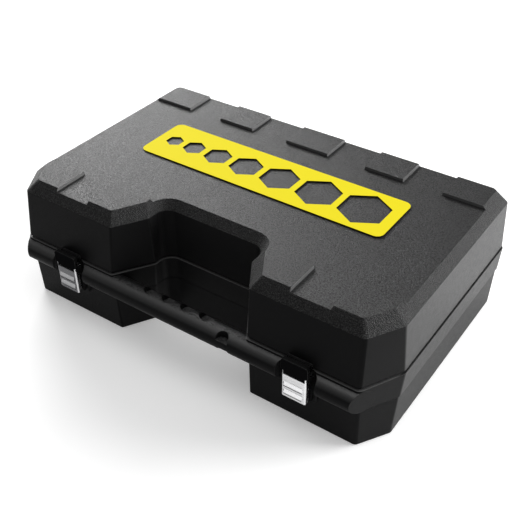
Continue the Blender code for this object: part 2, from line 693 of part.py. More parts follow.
def universal_joint():
    """Two forks at right angles on a cross: the lower one ends in a square drive, the upper one in a socket end."""
    x, y, z = JOINT
    reach, radius, ear_inside, ear_half, pin = 0.0130, 0.0115, 0.0068, 0.0055, 0.0030

    def fork(name, way, along_x):
        base_near, base_far = z + way * reach, z + way * (reach + 0.0105)
        made = rod(name, (x, y, base_near), (x, y, base_far), radius, 16, finish=TOOL_CHROME)
        for tag, side in (("a", -1), ("b", 1)):
            inside, outside = sorted((side * ear_inside, side * 0.0105))
            ear = [((z - way * ear_half, -ear_half), 0.004), ((z + way * (reach + 0.003), -ear_half), 0),
                   ((z + way * (reach + 0.003), ear_half), 0), ((z - way * ear_half, ear_half), 0.004)]
            if along_x:
                corners = [((y + across, up), r) for (up, across), r in ear]
                blade = slab(f"{name}_ear_{tag}", ordered(corners), x + inside, x + outside, "X")
            else:
                corners = [((up, x + across), r) for (up, across), r in ear]
                blade = slab(f"{name}_ear_{tag}", ordered(corners), y + inside, y + outside, "Y")
            join(made, blade)
        reach_pin = 0.02
        ends = ((x - reach_pin, y, z), (x + reach_pin, y, z)) if along_x else ((x, y - reach_pin, z), (x, y + reach_pin, z))
        return cut(made, rod(f"{name}_bore", *ends, pin + GAP, 16))

    lower = fork("joint_fork_lower", -1, False)
    join(lower, square_bar("joint_drive", (x, y, z - 0.0370), (x, y, z - 0.0220), DRIVE - 0.0002))
    upper = fork("joint_fork_upper", 1, True)
    top = z + 0.0330
    join(upper, rod("joint_socket_end", (x, y, z + 0.0200), (x, y, top), radius, 16))
    cut(upper, square_bar("joint_mouth", (x, y, top - 0.0145), (x, y, top + WALL), DRIVE + 0.0002))
    cross = box("joint_cross", (x - 0.0058, y - 0.0058, z - 0.0045), (x + 0.0058, y + 0.0058, z + 0.0045), BRIGHT_STEEL)
    join(cross, rod("cross_pin_x", (x - 0.0103, y, z), (x + 0.0103, y, z), pin, 16))
    join(cross, rod("cross_pin_y", (x, y - 0.0103, z), (x, y + 0.0103, z), pin, 16))


def ordered(corners):
    """The same corners running anticlockwise."""
    area = sum(a[0][0] * b[0][1] - b[0][0] * a[0][1] for a, b in zip(corners, corners[1:] + corners[:1]))
    return corners if area > 0 else list(reversed(corners))


# Insert ---------------------------------------------------------------------------------------------------------------


def tool_insert(places):
    """Deck on a skirt that stands on the tray's floor, with a cup or a trough under every tool."""
    edge = WALL + BAND_STEP + INSERT_CLEARANCE
    foot, deck_under = WALL + GAP, DECK_Z - DECK
    skirt = 2 * SHEET
    rings = [
        outline(between(BASE, PARTING, deck_under), edge + skirt),
        outline(between(BASE, PARTING, foot), edge + skirt),
        outline(between(BASE, PARTING, foot), edge),
        outline(between(BASE, PARTING, DECK_Z), edge),
    ]
    insert = loft("tool_insert", rings, INSERT_GREY)
    cups = new_collection("insert_cups", helper=True)
    pockets = new_collection("insert_pockets", helper=True)

    def pocket(name, low, high, radius=None):
        """Box between two corners, or a round hole from low to high, with a wall round it."""
        shapes = []
        for tag, wall, lift in (("cup", CUP_WALL, -DECK / 2), ("pocket", 0.0, WALL)):
            if radius:
                start, end = Vector(low) - Vector((0, 0, wall)), Vector(high) + Vector((0, 0, lift))
                shapes.append(rod(f"{name}_{tag}", start, end, radius + wall, CUP_SIDES))
            else:
                start = Vector(low) - Vector((wall, wall, wall))
                end = Vector(high) + Vector((wall, wall, lift))
                shapes.append(box(f"{name}_{tag}", start, end))
        for shape, collection in zip(shapes, (cups, pockets)):
            HELPERS.objects.unlink(shape)
            collection.objects.link(shape)

    for size, spot in places.items():
        radius = max(socket_radius(size), drive_radius(size)) + 0.0010
        pocket(f"socket_{size}_place", spot, (spot.x, spot.y, DECK_Z), radius)
    x, y, z = RATCHET
    pocket("ratchet_head_place", (x, y, z - 0.0255), (x, y, DECK_Z), 0.0205)
    pocket("ratchet_handle_place", (x + 0.010, y - 0.0155, z - 0.0155), (x + 0.2425, y + 0.0155, DECK_Z))
    x, y, z = T_BAR
    pocket("t_bar_place", (x - 0.1270, y - 0.0125, z - 0.0265), (x + 0.1270, y + 0.0125, DECK_Z))
    for name, centre, length in extensions():
        half = length / 2 + 0.0015
        low = centre - Vector((half, 0.0120, 0.0120))
        pocket(f"{name}_place", low, (centre.x + half, centre.y + 0.0120, DECK_Z))
    x, y, z = JOINT
    pocket("joint_place", (x, y, z - 0.0380), (x, y, DECK_Z), 0.0130)
    for operation, collection in (("UNION", cups), ("DIFFERENCE", pockets)):
        modifier = insert.modifiers.new(operation.lower(), "BOOLEAN")
        modifier.operation = operation
        modifier.operand_type = "COLLECTION"
        modifier.collection = collection
    return insert


def extensions():
    return (("extension_long", EXTENSION_LONG, 0.2500), ("extension_short", EXTENSION_SHORT, 0.1250))


clear_scene()
PARTS = new_collection("socket_wrench_set")
HELPERS = new_collection("cutters", helper=True)
PLACES = socket_places()
tray_shell()
lid_shell()
hinge_pins()
lid_badge()
latches()
tool_insert(PLACES)
ratchet()
for bar_name, bar_centre, bar_length in extensions():
    extension(bar_name, bar_centre, bar_length)
t_bar()
universal_joint()
for socket_size, socket_spot in PLACES.items():
    socket(socket_size, socket_spot)
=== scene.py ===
"""Looks of a socket wrench set in its carrying case: shells, latches, tools, their finishes and the studio.

Metres, +Z up. Every piece keeps its CAD node's shape and place, with finer rounding, a groove round the lid's
foot and slots beside the levers' louvres.
"""

import json
import math
from typing import NamedTuple

import bmesh
import bpy
from mathutils import Matrix, Quaternion, Vector

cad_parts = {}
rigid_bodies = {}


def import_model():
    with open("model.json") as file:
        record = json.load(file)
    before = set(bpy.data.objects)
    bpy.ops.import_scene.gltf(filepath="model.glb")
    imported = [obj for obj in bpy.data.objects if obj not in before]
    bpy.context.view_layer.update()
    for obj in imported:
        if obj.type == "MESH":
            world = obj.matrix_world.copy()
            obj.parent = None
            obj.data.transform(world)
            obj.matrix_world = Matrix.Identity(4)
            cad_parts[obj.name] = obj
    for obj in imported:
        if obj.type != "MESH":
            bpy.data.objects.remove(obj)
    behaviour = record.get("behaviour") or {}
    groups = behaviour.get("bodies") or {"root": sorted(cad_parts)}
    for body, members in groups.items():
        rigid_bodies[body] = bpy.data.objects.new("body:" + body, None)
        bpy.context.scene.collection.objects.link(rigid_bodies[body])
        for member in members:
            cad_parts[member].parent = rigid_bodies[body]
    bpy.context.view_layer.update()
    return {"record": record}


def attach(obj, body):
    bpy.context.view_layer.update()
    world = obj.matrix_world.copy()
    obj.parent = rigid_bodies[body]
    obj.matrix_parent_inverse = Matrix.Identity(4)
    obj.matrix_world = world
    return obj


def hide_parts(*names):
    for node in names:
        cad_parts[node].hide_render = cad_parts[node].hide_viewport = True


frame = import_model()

GAP = 0.0004
WALL = 0.0030


class Level(NamedTuple):
    """The case's outline at one height. Every distance is measured from the middle of the case."""

    z: float
    half_width: float
    front: float
    back: float
    corner_x: float
    corner_y: float
    recess_half: float
    recess_back: float
    recess_bend: float
    mouth_half: float
    recess_radius: float


# The outline of the case at its floor, at the parting line, and at the foot and the top of the lid's bevel.
BASE = Level(0.0, 0.2162, 0.1270, 0.1336, 0.0197, 0.0312, 0.0619, 0.0670, 0.0940, 0.0812, 0.014)
PARTING = Level(0.0734, 0.2200, 0.1313, 0.1346, 0.0222, 0.0420, 0.0567, 0.0731, 0.0925, 0.0815, 0.014)
BEVEL = Level(0.1269, 0.2155, 0.1251, 0.1342, 0.0205, 0.0344, 0.0608, 0.0686, 0.0920, 0.0810, 0.014)
TOP = Level(0.1383, 0.2027, 0.1143, 0.1306, 0.0154, 0.0262, 0.0700, 0.0562, 0.0840, 0.0875, 0.023)

BEND_RADIUS = 0.006
MOUTH_RADIUS = 0.003
CORNER_RADIUS = 0.006
BACK_RADIUS = 0.006
ARC_STEPS = 10

# Tray: a bottom edge, a lower wall and a thicker band under the parting line.
FOOT_EDGE = 0.0010
BAND_BOTTOM = 0.0464
BAND_LEDGE = 0.0025
BAND_STEP = 0.0012
LEDGE_Z = BAND_BOTTOM - BAND_LEDGE
TRAY_RIM = PARTING.z - GAP / 2

# Lid: it stands back a little from the tray's rim, and pads stand on the flat top panel.
LID_FOOT = PARTING.z + GAP / 2
RIM_INSET = 0.0010
PANEL_Z = 0.1353
PAD_ROOT = 0.0015
CROWN_INSET = 0.0001
PAD_SLOPE = 0.003

# Roll along the tray's front, which is also the carry handle where it crosses the hand recess.
ROLL_Y = -0.1280
ROLL_Z = 0.0590
ROLL_RADIUS = 0.0120
ROLL_BACK = ROLL_Y + ROLL_RADIUS
ROLL_UNDER = ROLL_Z - ROLL_RADIUS

# Round hollows cored into the bar from above and from below: four for the fingers and one for the thumb.
CORE_HALF = 0.0040
FINGERS_X = (-0.0363, -0.0137, 0.0089, 0.0315)
FINGER_Y = -0.1222
FINGER_RADIUS = 0.0086
THUMB = (0.0584, -0.1381)
THUMB_RADIUS = 0.0068

# Draw latches, each on a flat pad in a pocket of the roll.
LATCHES = (("left", -0.1362), ("right", 0.1385))
POCKET_HALF = 0.0205
POCKET_RADIUS = 0.0080
PAD_Y = -0.1306
PAD_HALF = 0.0170
PAD_BOTTOM = 0.0340
PAD_TOP = 0.0715
LEVER_HALF = 0.0126
HOOK_HALF = 0.0140
KEEPER_HALF = 0.0125
FACE_Y = -0.1405
SHEET = 0.0012
LEVER_BOTTOM = 0.0370
LEVER_TOP = 0.0633
LEVER_PIVOT = (-0.1344, 0.0703)
HOOK_PIVOT = (-0.1386, 0.0656)
LATCH_PIN_RADIUS = 0.0011
HOOK_PIN_RADIUS = 0.0009
KNUCKLE_RADIUS = 0.0019
HOOK_TOP = 0.0810
HOOK_DEPTH_Y = -0.1362
KEEPER_WALL_Y = PAD_Y - GAP
KEEPER_BOTTOM = PARTING.z + 0.0008
KEEPER_TOP = 0.0788
LOUVRES_Z = (0.0510, 0.0415)
PIN_SIDES = 12
FRONT_REACH = 0.1420

# Pin hinges at the back.
HINGES = (("left", -0.1200), ("right", 0.1200))
HINGE_LENGTH = 0.0600
HINGE_LID_LENGTH = 0.0298
HINGE_RADIUS = 0.0035
HINGE_Y = FRONT_REACH - HINGE_RADIUS
HINGE_WEB = 0.0029
HINGE_PIN_RADIUS = 0.0013

# Tool insert: a moulded deck on a skirt, with a cup under each tool.
DECK_Z = 0.0570
DECK = 0.0025
CUP_WALL = 0.0018
CUP_SIDES = 16
INSERT_CLEARANCE = 0.0015

# Sockets, by their width across flats in millimetres.
DRIVE = 0.0127
DRIVE_TIP = DRIVE - 0.0002
DRIVE_HOLE = DRIVE + 0.0002
DRIVE_DEPTH = 0.0145
BACK_ROW = (32, 27, 24, 22, 19, 17, 15, 14)
FRONT_ROW = (13, 12, 11, 10)
BACK_ROW_Y = 0.0920
FRONT_ROW_Y = -0.0940
FRONT_ROW_X = 0.0960
FRONT_ROW_PITCH = 0.0310
BACK_ROW_SPACE = 0.0160
SOCKET_FLOOR = 0.0360
SOCKET_SIDES = 20

# Long tools lie along X in troughs.
RATCHET = Vector((-0.1600, 0.0400, 0.0505))
T_BAR = Vector((0.0, 0.0020, 0.0540))
EXTENSION_LONG = Vector((0.0, -0.0350, 0.0525))
EXTENSION_SHORT = Vector((-0.1367, -0.0870, 0.0525))
JOINT = Vector((0.1650, 0.0200, 0.0700))
JOINT_RADIUS = 0.0115
JOINT_PIN_RADIUS = 0.0030

# Ratchet: its head, and the cover and the dial on top of it.
HEAD_LOW = RATCHET.z - 0.0085
HEAD_TOP = RATCHET.z + 0.0085
SHANK = 0.0068
SPINDLE_BORE = 0.0052
COVER = 0.0012
COVER_LOW = HEAD_TOP + GAP
DIAL_LOW = COVER_LOW + COVER + GAP

# Finer rounding than the solids have, and the dark groove round the lid's foot.
FINE = 3
GROOVE_DEPTH = 0.0016
GROOVE_HEIGHT = 0.0016
GROOVE_SLOPE = 0.0003

# Turns an object's own Z axis onto X.
ALONG_X = (0, math.pi / 2, 0)

# Distance over which one zone of a finish fades into the next.
FADE = 0.0002

CASE_BLACK = "case_black"
LATCH_BLACK = "latch_black"
BRIGHT_STEEL = "bright_steel"
BADGE_YELLOW = "badge_yellow"
INSERT_GREY = "insert_grey"
TOOL_CHROME = "tool_chrome"
GRIP_BLACK = "grip_black"

BODY_OF = {node: body for body, nodes in frame["record"]["behaviour"]["bodies"].items() for node in nodes}
SHAPES = bpy.data.collections.new("shapes")
bpy.context.scene.collection.children.link(SHAPES)
MADE = []


# Building blocks --------------------------------------------------------------


def new_collection(name):
    collection = bpy.data.collections.new(name)
    SHAPES.children.link(collection)
    return collection


def place(name, mesh, finish=None):
    """Object from a bmesh. One with a finish becomes a shown piece, and any other only cuts or joins."""
    bmesh.ops.recalc_face_normals(mesh, faces=mesh.faces)
    data = bpy.data.meshes.new(name)
    mesh.to_mesh(data)
    mesh.free()
    return keep(name, data, finish)


def keep(name, data, finish):
    made = bpy.data.objects.new(name, data)
    SHAPES.objects.link(made)
    if finish:
        MADE.append((name, made, finish))
    return made


def smooth(part, angle=35.0):
    part.data.shade_smooth()
    part.data.set_sharp_from_angle(angle=math.radians(angle))
    return part


def soften(part, width, angle=25.0, steps=3):
    """Rounds the part's edges before anything is joined to it or cut from it."""
    modifier = part.modifiers.new("soften", "BEVEL")
    modifier.width = width
    modifier.segments = steps
    modifier.limit_method = "ANGLE"
    modifier.angle_limit = math.radians(angle)
    modifier.use_clamp_overlap = True
    return part


def show_pieces():
    """Turns every made shape into a shown piece in its CAD node's place."""
    bpy.context.view_layer.update()
    graph = bpy.context.evaluated_depsgraph_get()
    shown = []
    for name, made, finish in MADE:
        data = bpy.data.meshes.new_from_object(made.evaluated_get(graph))
        data.transform(made.matrix_world)
        data.materials.clear()
        data.materials.append(FINISHES[finish])
        data.polygons.foreach_set("material_index", [0] * len(data.polygons))
        shown.append((name, data, finish))
    for collection in [*SHAPES.children_recursive, SHAPES]:
        for item in list(collection.objects):
            bpy.data.objects.remove(item)
        bpy.data.collections.remove(collection)
    for name, data, finish in shown:
        piece = bpy.data.objects.new(f"{name}_look", data)
        bpy.context.scene.collection.objects.link(piece)
        smooth(piece, 30.0)
        flatten = piece.modifiers.new("flatten", "WEIGHTED_NORMAL")
        flatten.keep_sharp = True
        flatten.weight = 80
        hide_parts(name)
        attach(piece, BODY_OF[name])


def ribs(start, end, count, depth=0.0007):
    """Profile points of shallow grooves between two (radius, height) points."""
    points = []
    for index in range(count):
        for share, sink in ((0.1, 0.0), (0.3, depth), (0.7, depth), (0.9, 0.0)):
            along = (index + share) / count
            radius = start[0] + (end[0] - start[0]) * along
            height = start[1] + (end[1] - start[1]) * along
            points.append((radius - sink, height))
    return points


def boolean(part, operation, *others):
    for other in others:
        modifier = part.modifiers.new(f"{operation.lower()}_{other.name}", "BOOLEAN")
        modifier.operation = operation
        modifier.object = other
    return part


def join(part, *others):
    return boolean(part, "UNION", *others)


def cut(part, *others):
    return boolean(part, "DIFFERENCE", *others)


def box(name, low, high, finish=None):
    low, high = Vector(low), Vector(high)
    mesh = bmesh.new()
    bmesh.ops.create_cube(mesh, size=1.0, matrix=Matrix.LocRotScale((low + high) / 2, None, high - low))
    return place(name, mesh, finish)


def plate(name, x, half, low, high, finish=None):
    """Box that reaches half its width to each side of x, between two (y, z) corners."""
    return box(name, (x - half, *low), (x + half, *high), finish)


def rod(name, start, end, radius, steps=20, end_radius=None, spin=0.0, finish=None):
    """Cylinder, cone or prism of that many sides from start to end, turned by spin about its own axis."""
    start, end = Vector(start), Vector(end)
    way = (end - start).to_track_quat("Z", "Y") @ Quaternion((0, 0, 1), spin)
    mesh = bmesh.new()
    bmesh.ops.create_cone(
        mesh,
        cap_ends=True,
        segments=steps if steps <= 8 else FINE * steps,
        radius1=radius,
        radius2=radius if end_radius is None else end_radius,
        depth=(end - start).length,
        matrix=Matrix.LocRotScale((start + end) / 2, way, None),
    )
    made = place(name, mesh, finish)
    return smooth(made) if steps > 8 else made


def post(name, spot, low, high, radius, steps, finish=None):
    """Upright rod over a spot, between two heights."""
    return rod(name, (spot.x, spot.y, low), (spot.x, spot.y, high), radius, steps, finish=finish)


def square_bar(name, start, end, side):
    return rod(name, start, end, side / math.sqrt(2), 4, spin=math.pi / 4)


def hexagon_bar(name, start, end, across_flats):
    return rod(name, start, end, across_flats / math.sqrt(3), 6)


def loft(name, rings, finish=None):
    """Closed solid through rings of equally many points, capped at the first and the last."""
    mesh = bmesh.new()
    loops = [[mesh.verts.new(point) for point in ring] for ring in rings]
    for lower, upper in zip(loops, loops[1:]):
        for i in range(len(lower)):
            mesh.faces.new((lower[i - 1], lower[i], upper[i], upper[i - 1]))
    mesh.faces.new(reversed(loops[0]))
    mesh.faces.new(loops[-1])
    return place(name, mesh, finish)


def rounded(corners, inset=0.0, steps=ARC_STEPS):
    """Points of an anticlockwise outline given as ((x, y), radius) corners, moved inwards and rounded."""
    points = []
    for index, (corner, radius) in enumerate(corners):
        here = Vector(corner)
        run_in = (here - Vector(corners[index - 1][0])).normalized()
        run_out = (Vector(corners[(index + 1) % len(corners)][0]) - here).normalized()
        normal_in = Vector((-run_in.y, run_in.x))
        normal_out = Vector((-run_out.y, run_out.x))
        mitre = (normal_in + normal_out) / (1 + normal_in.dot(normal_out))
        turn = math.atan2(run_in.cross(run_out), run_in.dot(run_out))
        side = math.copysign(1.0, turn)
        arc = max(radius - side * inset, 0.0005)
        centre = here + mitre * (inset + side * arc)
        count = FINE * steps if steps < ARC_STEPS else steps
        for step in range(count + 1):
            normal = Matrix.Rotation(turn * step / count, 2) @ normal_in
            points.append(centre - side * arc * normal)
    return points


def rectangle(low, high, *radii):
    """Corners of a rectangle with their radii, anticlockwise from the low one."""
    return list(zip((low, (high[0], low[1]), high, (low[0], high[1])), radii))


def slab(name, corners, low, high, axis="Z", finish=None, steps=ARC_STEPS):
    """Rounded flat outline extruded along an axis. X takes (y, z) corners, and Y takes (z, x) corners."""
    order = {"X": (2, 0, 1), "Y": (1, 2, 0), "Z": (0, 1, 2)}[axis]
    points = rounded(corners, steps=steps)
    rings = [[[(*point, depth)[index] for index in order] for point in points] for depth in (low, high)]
    return loft(name, rings, finish)


def turned(name, profile, finish, steps=16, origin=(0, 0, 0), turn=(0, 0, 0), closed=False):
    """Profile of (radius, height) points, outer side running down, turned about the object's Z axis."""
    count = len(profile)
    edges = [(i, i + 1) for i in range(count - 1)] + ([(count - 1, 0)] if closed else [])
    data = bpy.data.meshes.new(name)
    data.from_pydata([(radius, 0.0, height) for radius, height in profile], edges, [])
    made = keep(name, data, finish)
    made.location = origin
    made.rotation_euler = turn
    screw = made.modifiers.new("screw", "SCREW")
    screw.steps = screw.render_steps = FINE * steps
    screw.use_merge_vertices = True
    screw.merge_threshold = 0.00001
    return made


# Case -------------------------------------------------------------------------


def between(lower, upper, z):
    """The case's outline at height z, in step between two known ones."""
    share = (z - lower.z) / (upper.z - lower.z)
    return Level(*(a + (b - a) * share for a, b in zip(lower, upper)))


def outline(level, inset=0.0, z=None):
    """The case's rounded outline at a level, moved inwards by inset and set at height z."""
    right = [
        ((level.recess_half, -level.recess_back), level.recess_radius),
        ((level.recess_half, -level.recess_bend), BEND_RADIUS),
        ((level.mouth_half, -level.front), MOUTH_RADIUS),
        ((level.half_width - level.corner_x, -level.front), CORNER_RADIUS),
        ((level.half_width, level.corner_y - level.front), CORNER_RADIUS),
        ((level.half_width, level.back), BACK_RADIUS),
    ]
    left = [((-x, y), radius) for (x, y), radius in reversed(right)]
    height = level.z if z is None else z
    return [(x, y, height) for x, y in rounded(right + left, inset)]


def roll():
    """Round roll with both ends cut flush with the case's corner chamfers."""
    slope = PARTING.corner_x / PARTING.corner_y
    edge_x = PARTING.half_width - PARTING.corner_x

    def end_x(y):
        return edge_x + (y + PARTING.front) * slope

    near, far = ROLL_Y - 2 * ROLL_RADIUS, ROLL_Y + 2 * ROLL_RADIUS
    corners = [((way * end_x(y), y), 0) for way, y in ((-1, near), (1, near), (1, far), (-1, far))]
    ends = slab("roll_ends", corners, ROLL_Z - 2 * ROLL_RADIUS, ROLL_Z + 2 * ROLL_RADIUS, steps=1)
    reach = PARTING.half_width
    made = rod("roll", (-reach, ROLL_Y, ROLL_Z), (reach, ROLL_Y, ROLL_Z), ROLL_RADIUS, 28)
    return boolean(made, "INTERSECT", ends)


def handle_hollows():
    """Blind round hollows in the bar's upper and lower sides."""
    spots = [(x, FINGER_Y, FINGER_RADIUS) for x in FINGERS_X] + [(*THUMB, THUMB_RADIUS)]
    hollows = []
    for index, (x, y, radius) in enumerate(spots):
        for tag, way in (("top", 1), ("under", -1)):
            start, end = (x, y, ROLL_Z + way * CORE_HALF), (x, y, ROLL_Z + way * 2 * ROLL_RADIUS)
            hollows.append(rod(f"hollow_{index + 1}_{tag}", start, end, radius, 18))
    return hollows


def hinge_rod(name, start, end, radius, steps, finish=None):
    """Rod along the hinges' axis, between two places along X."""
    return rod(name, (start, HINGE_Y, PARTING.z), (end, HINGE_Y, PARTING.z), radius, steps, finish=finish)


def hinge_knuckles(name, centre_x, spans, low_z, high_z):
    """Knuckles round the hinge axis, each joined to the wall by a web between two heights."""
    made = []
    for index, (start, end) in enumerate(spans):
        start, end = centre_x + start, centre_x + end
        knuckle = hinge_rod(f"{name}_{index}", start, end, HINGE_RADIUS, 16)
        web = box(f"{name}_web_{index}", (start, PARTING.back - 0.002, low_z), (end, HINGE_Y, high_z))
        made += [knuckle, web]
    return made


def hinge_bore(name, centre_x):
    start, end = centre_x - HINGE_LENGTH, centre_x + HINGE_LENGTH
    return hinge_rod(name, start, end, HINGE_PIN_RADIUS + GAP, 12)


def tray_shell():
    """Lower half: a tray with the roll along its front, a pad for each latch and the outer hinge knuckles."""
    rings = [
        outline(BASE, FOOT_EDGE),
        outline(between(BASE, PARTING, FOOT_EDGE), BAND_STEP / 4),
        outline(between(BASE, PARTING, LEDGE_Z), BAND_STEP),
        outline(between(BASE, PARTING, BAND_BOTTOM)),
        outline(PARTING, z=TRAY_RIM),
    ]
    tray = soften(loft("tray_shell", rings, CASE_BLACK), 0.0008, angle=8.0, steps=4)
    cavity_rings = [
        outline(between(BASE, PARTING, WALL), WALL + BAND_STEP),
        outline(between(BASE, PARTING, LEDGE_Z), WALL + BAND_STEP / 2),
        outline(PARTING, WALL, PARTING.z + WALL),
    ]
    cavity = loft("tray_cavity", cavity_rings)
    join(tray, roll())
    floor, outside, pad_depth = PAD_Y + 0.0005, -0.17, 0.007
    for side, x in LATCHES:
        low, high = (x - POCKET_HALF, outside), (x + POCKET_HALF, floor)
        pocket = rectangle(low, high, 0, 0, POCKET_RADIUS, POCKET_RADIUS)
        cut(tray, slab(f"latch_pocket_{side}", pocket, PAD_BOTTOM - WALL, PARTING.z + WALL))
        join(tray, plate(f"latch_pad_{side}", x, PAD_HALF, (PAD_Y, PAD_BOTTOM), (PAD_Y + pad_depth, PAD_TOP)))
    cut(tray, cavity, *handle_hollows())
    half, inner = HINGE_LENGTH / 2, HINGE_LID_LENGTH / 2 + GAP
    spans = ((-half, -inner), (inner, half))
    for side, x in HINGES:
        join(tray, *hinge_knuckles(f"tray_knuckle_{side}", x, spans, PARTING.z - HINGE_WEB, PARTING.z - GAP))
        cut(tray, hinge_bore(f"tray_bore_{side}", x))
    smooth(tray)


def pad_blocks():
    """Raised pads round the lid's top: their outer sides carry on the bevel, and their inner sides slope."""
    back, front = TOP.back - 0.0351, -TOP.front + 0.0350
    wide, deep = TOP.half_width + 0.02, TOP.back + 0.02
    back_row = (-wide, -0.1580), (-0.1110, -0.0710), (-0.0220, 0.0260), (0.0750, 0.1150), (0.1620, wide)
    front_row = (-wide, -0.1605), (-0.1155, -0.0600), (0.0600, 0.1155), (0.1605, wide)
    rows = [(low, high, back, deep) for low, high in back_row]
    rows += [(low, high, -deep, front) for low, high in front_row]
    mesh = bmesh.new()
    for x_low, x_high, y_low, y_high in rows:
        centre = Vector(((x_low + x_high) / 2, (y_low + y_high) / 2, TOP.z))
        size = Vector((x_high - x_low, y_high - y_low, 2 * (TOP.z - PANEL_Z + 2 * PAD_ROOT)))
        cube = bmesh.ops.create_cube(mesh, size=1.0, matrix=Matrix.LocRotScale(centre, None, size))
        for vert in cube["verts"]:
            if vert.co.z < TOP.z:
                outward = (vert.co - centre).to_2d()
                vert.co.x += math.copysign(PAD_SLOPE, outward.x)
                vert.co.y += math.copysign(PAD_SLOPE, outward.y)
    return place("pad_blocks", mesh)


def lid_shell():
    """Upper half: a bevelled lid with raised pads, a groove round its foot and the middle knuckles."""
    panel = between(BEVEL, TOP, PANEL_Z)
    brow = LID_FOOT + GROOVE_HEIGHT
    rings = [
        outline(PARTING, RIM_INSET + GROOVE_DEPTH, LID_FOOT),
        outline(PARTING, RIM_INSET + GROOVE_DEPTH, brow),
        outline(between(PARTING, BEVEL, brow + GROOVE_SLOPE), RIM_INSET),
        outline(BEVEL),
        outline(panel),
    ]
    lid = soften(loft("lid_shell", rings, CASE_BLACK), 0.0004, angle=8.0, steps=4)
    ceiling = PANEL_Z - WALL
    cavity_rings = [
        outline(PARTING, WALL + RIM_INSET, PARTING.z - WALL),
        outline(BEVEL, WALL + RIM_INSET / 2),
        outline(between(BEVEL, TOP, ceiling), WALL),
    ]
    crown_rings = [outline(between(BEVEL, TOP, PANEL_Z - PAD_ROOT), CROWN_INSET), outline(TOP, CROWN_INSET)]
    crown = soften(loft("pad_crown", crown_rings), 0.0010, angle=8.0, steps=4)
    join(lid, boolean(crown, "INTERSECT", pad_blocks()))
    for side, x in LATCHES:
        low, high = (KEEPER_WALL_Y, PARTING.z + 0.0010), (PAD_Y + 0.005, KEEPER_TOP)
        join(lid, plate(f"keeper_pad_{side}", x, KEEPER_HALF, low, high))
    cut(lid, loft("lid_cavity", cavity_rings))
    half = HINGE_LID_LENGTH / 2
    for side, x in HINGES:
        low, high = PARTING.z + GAP, PARTING.z + HINGE_WEB
        join(lid, *hinge_knuckles(f"lid_knuckle_{side}", x, ((-half, half),), low, high))
        cut(lid, hinge_bore(f"lid_bore_{side}", x))
    smooth(lid)


def hinge_pins():
    half = HINGE_LENGTH / 2 - 0.0005
    for side, x in HINGES:
        hinge_rod(f"hinge_pin_{side}", x - half, x + half, HINGE_PIN_RADIUS, 12, BRIGHT_STEEL)


def lid_badge():
    """Yellow plate with a row of hexagonal windows that grow like the sockets inside."""
    centre_y, half_x, half_y, radius = 0.0270, 0.1450, 0.0340, 0.0080
    low, high = PANEL_Z + GAP, PANEL_Z + 0.0014
    corners = rectangle((-half_x, centre_y - half_y), (half_x, centre_y + half_y), *[radius] * 4)
    badge = soften(slab("lid_badge", corners, low, high, finish=BADGE_YELLOW), 0.0002, angle=40.0, steps=2)
    first_size, growth, space, x = 0.0170, 0.0050, 0.0070, -0.1330
    for index in range(7):
        across = first_size + growth * index
        x += across / 2
        start, end = (x, centre_y, low - WALL), (x, centre_y, high + WALL)
        cut(badge, hexagon_bar(f"badge_window_{index + 1}", start, end, across))
        x += across / 2 + space


# Latches ----------------------------------------------------------------------


def pivot_rod(name, x, pivot, half, radius, steps=PIN_SIDES, finish=None):
    """Rod along X over a (y, z) pivot, reaching half its length to each side of x."""
    return rod(name, (x - half, *pivot), (x + half, *pivot), radius, steps, finish=finish)


def pivot_bore(name, x, pivot, radius):
    return pivot_rod(name, x, pivot, 0.02, radius)


def latch_bracket(side, x):
    """Base plate with two side walls that carry the lever's pin."""
    back, ear_inside, ear_outside = PAD_Y - 0.0003, LEVER_HALF + GAP, LEVER_HALF + 0.0019
    plate_top, ear_top, ear_nose, ear_front = 0.0620, 0.0728, -0.1386, -0.1345
    low, high = (back - SHEET, LEVER_BOTTOM), (back, plate_top)
    bracket = plate(f"latch_bracket_{side}", x, ear_outside, low, high, LATCH_BLACK)
    corners = [
        ((back, LEVER_BOTTOM), 0), ((back, ear_top), 0.0005), ((ear_nose, ear_top), 0.0015),
        ((ear_nose, 0.0640), 0.0020), ((ear_front, 0.0590), 0.0020), ((ear_front, LEVER_BOTTOM), 0.0015),
    ]
    for name, start in (("a", x - ear_outside), ("b", x + ear_inside)):
        end = start + ear_outside - ear_inside
        join(bracket, slab(f"bracket_ear_{side}_{name}", corners, start, end, "X", steps=1))
    return cut(bracket, pivot_bore(f"bracket_bore_{side}", x, LEVER_PIVOT, LATCH_PIN_RADIUS + GAP))


def add_louvre(lever, name, x, lip_z):
    """Louvre that stands out of the lever's face, with a slot under its lip and one along its left end."""
    root, half, rise, lip = FACE_Y + SHEET / 2, 0.0096, 0.0078, 0.0012
    corners = [((root, lip_z), 0), ((root, lip_z + rise), 0), ((-FRONT_REACH, lip_z + lip), 0.0005),
               ((-FRONT_REACH, lip_z), 0.0003)]
    join(lever, slab(f"louvre_{name}", corners, x - half, x + half, "X", steps=1))
    near, far = FACE_Y - 0.0002, FACE_Y + 2 * SHEET
    below = (x - 0.0106, near, lip_z - 0.0024), (x + 0.0088, far, lip_z)
    beside = (x - 0.0108, near, lip_z - 0.0020), (x - 0.0097, far, lip_z + 0.0030)
    cut(lever, box(f"louvre_slot_{name}", *below), box(f"louvre_end_{name}", *beside))


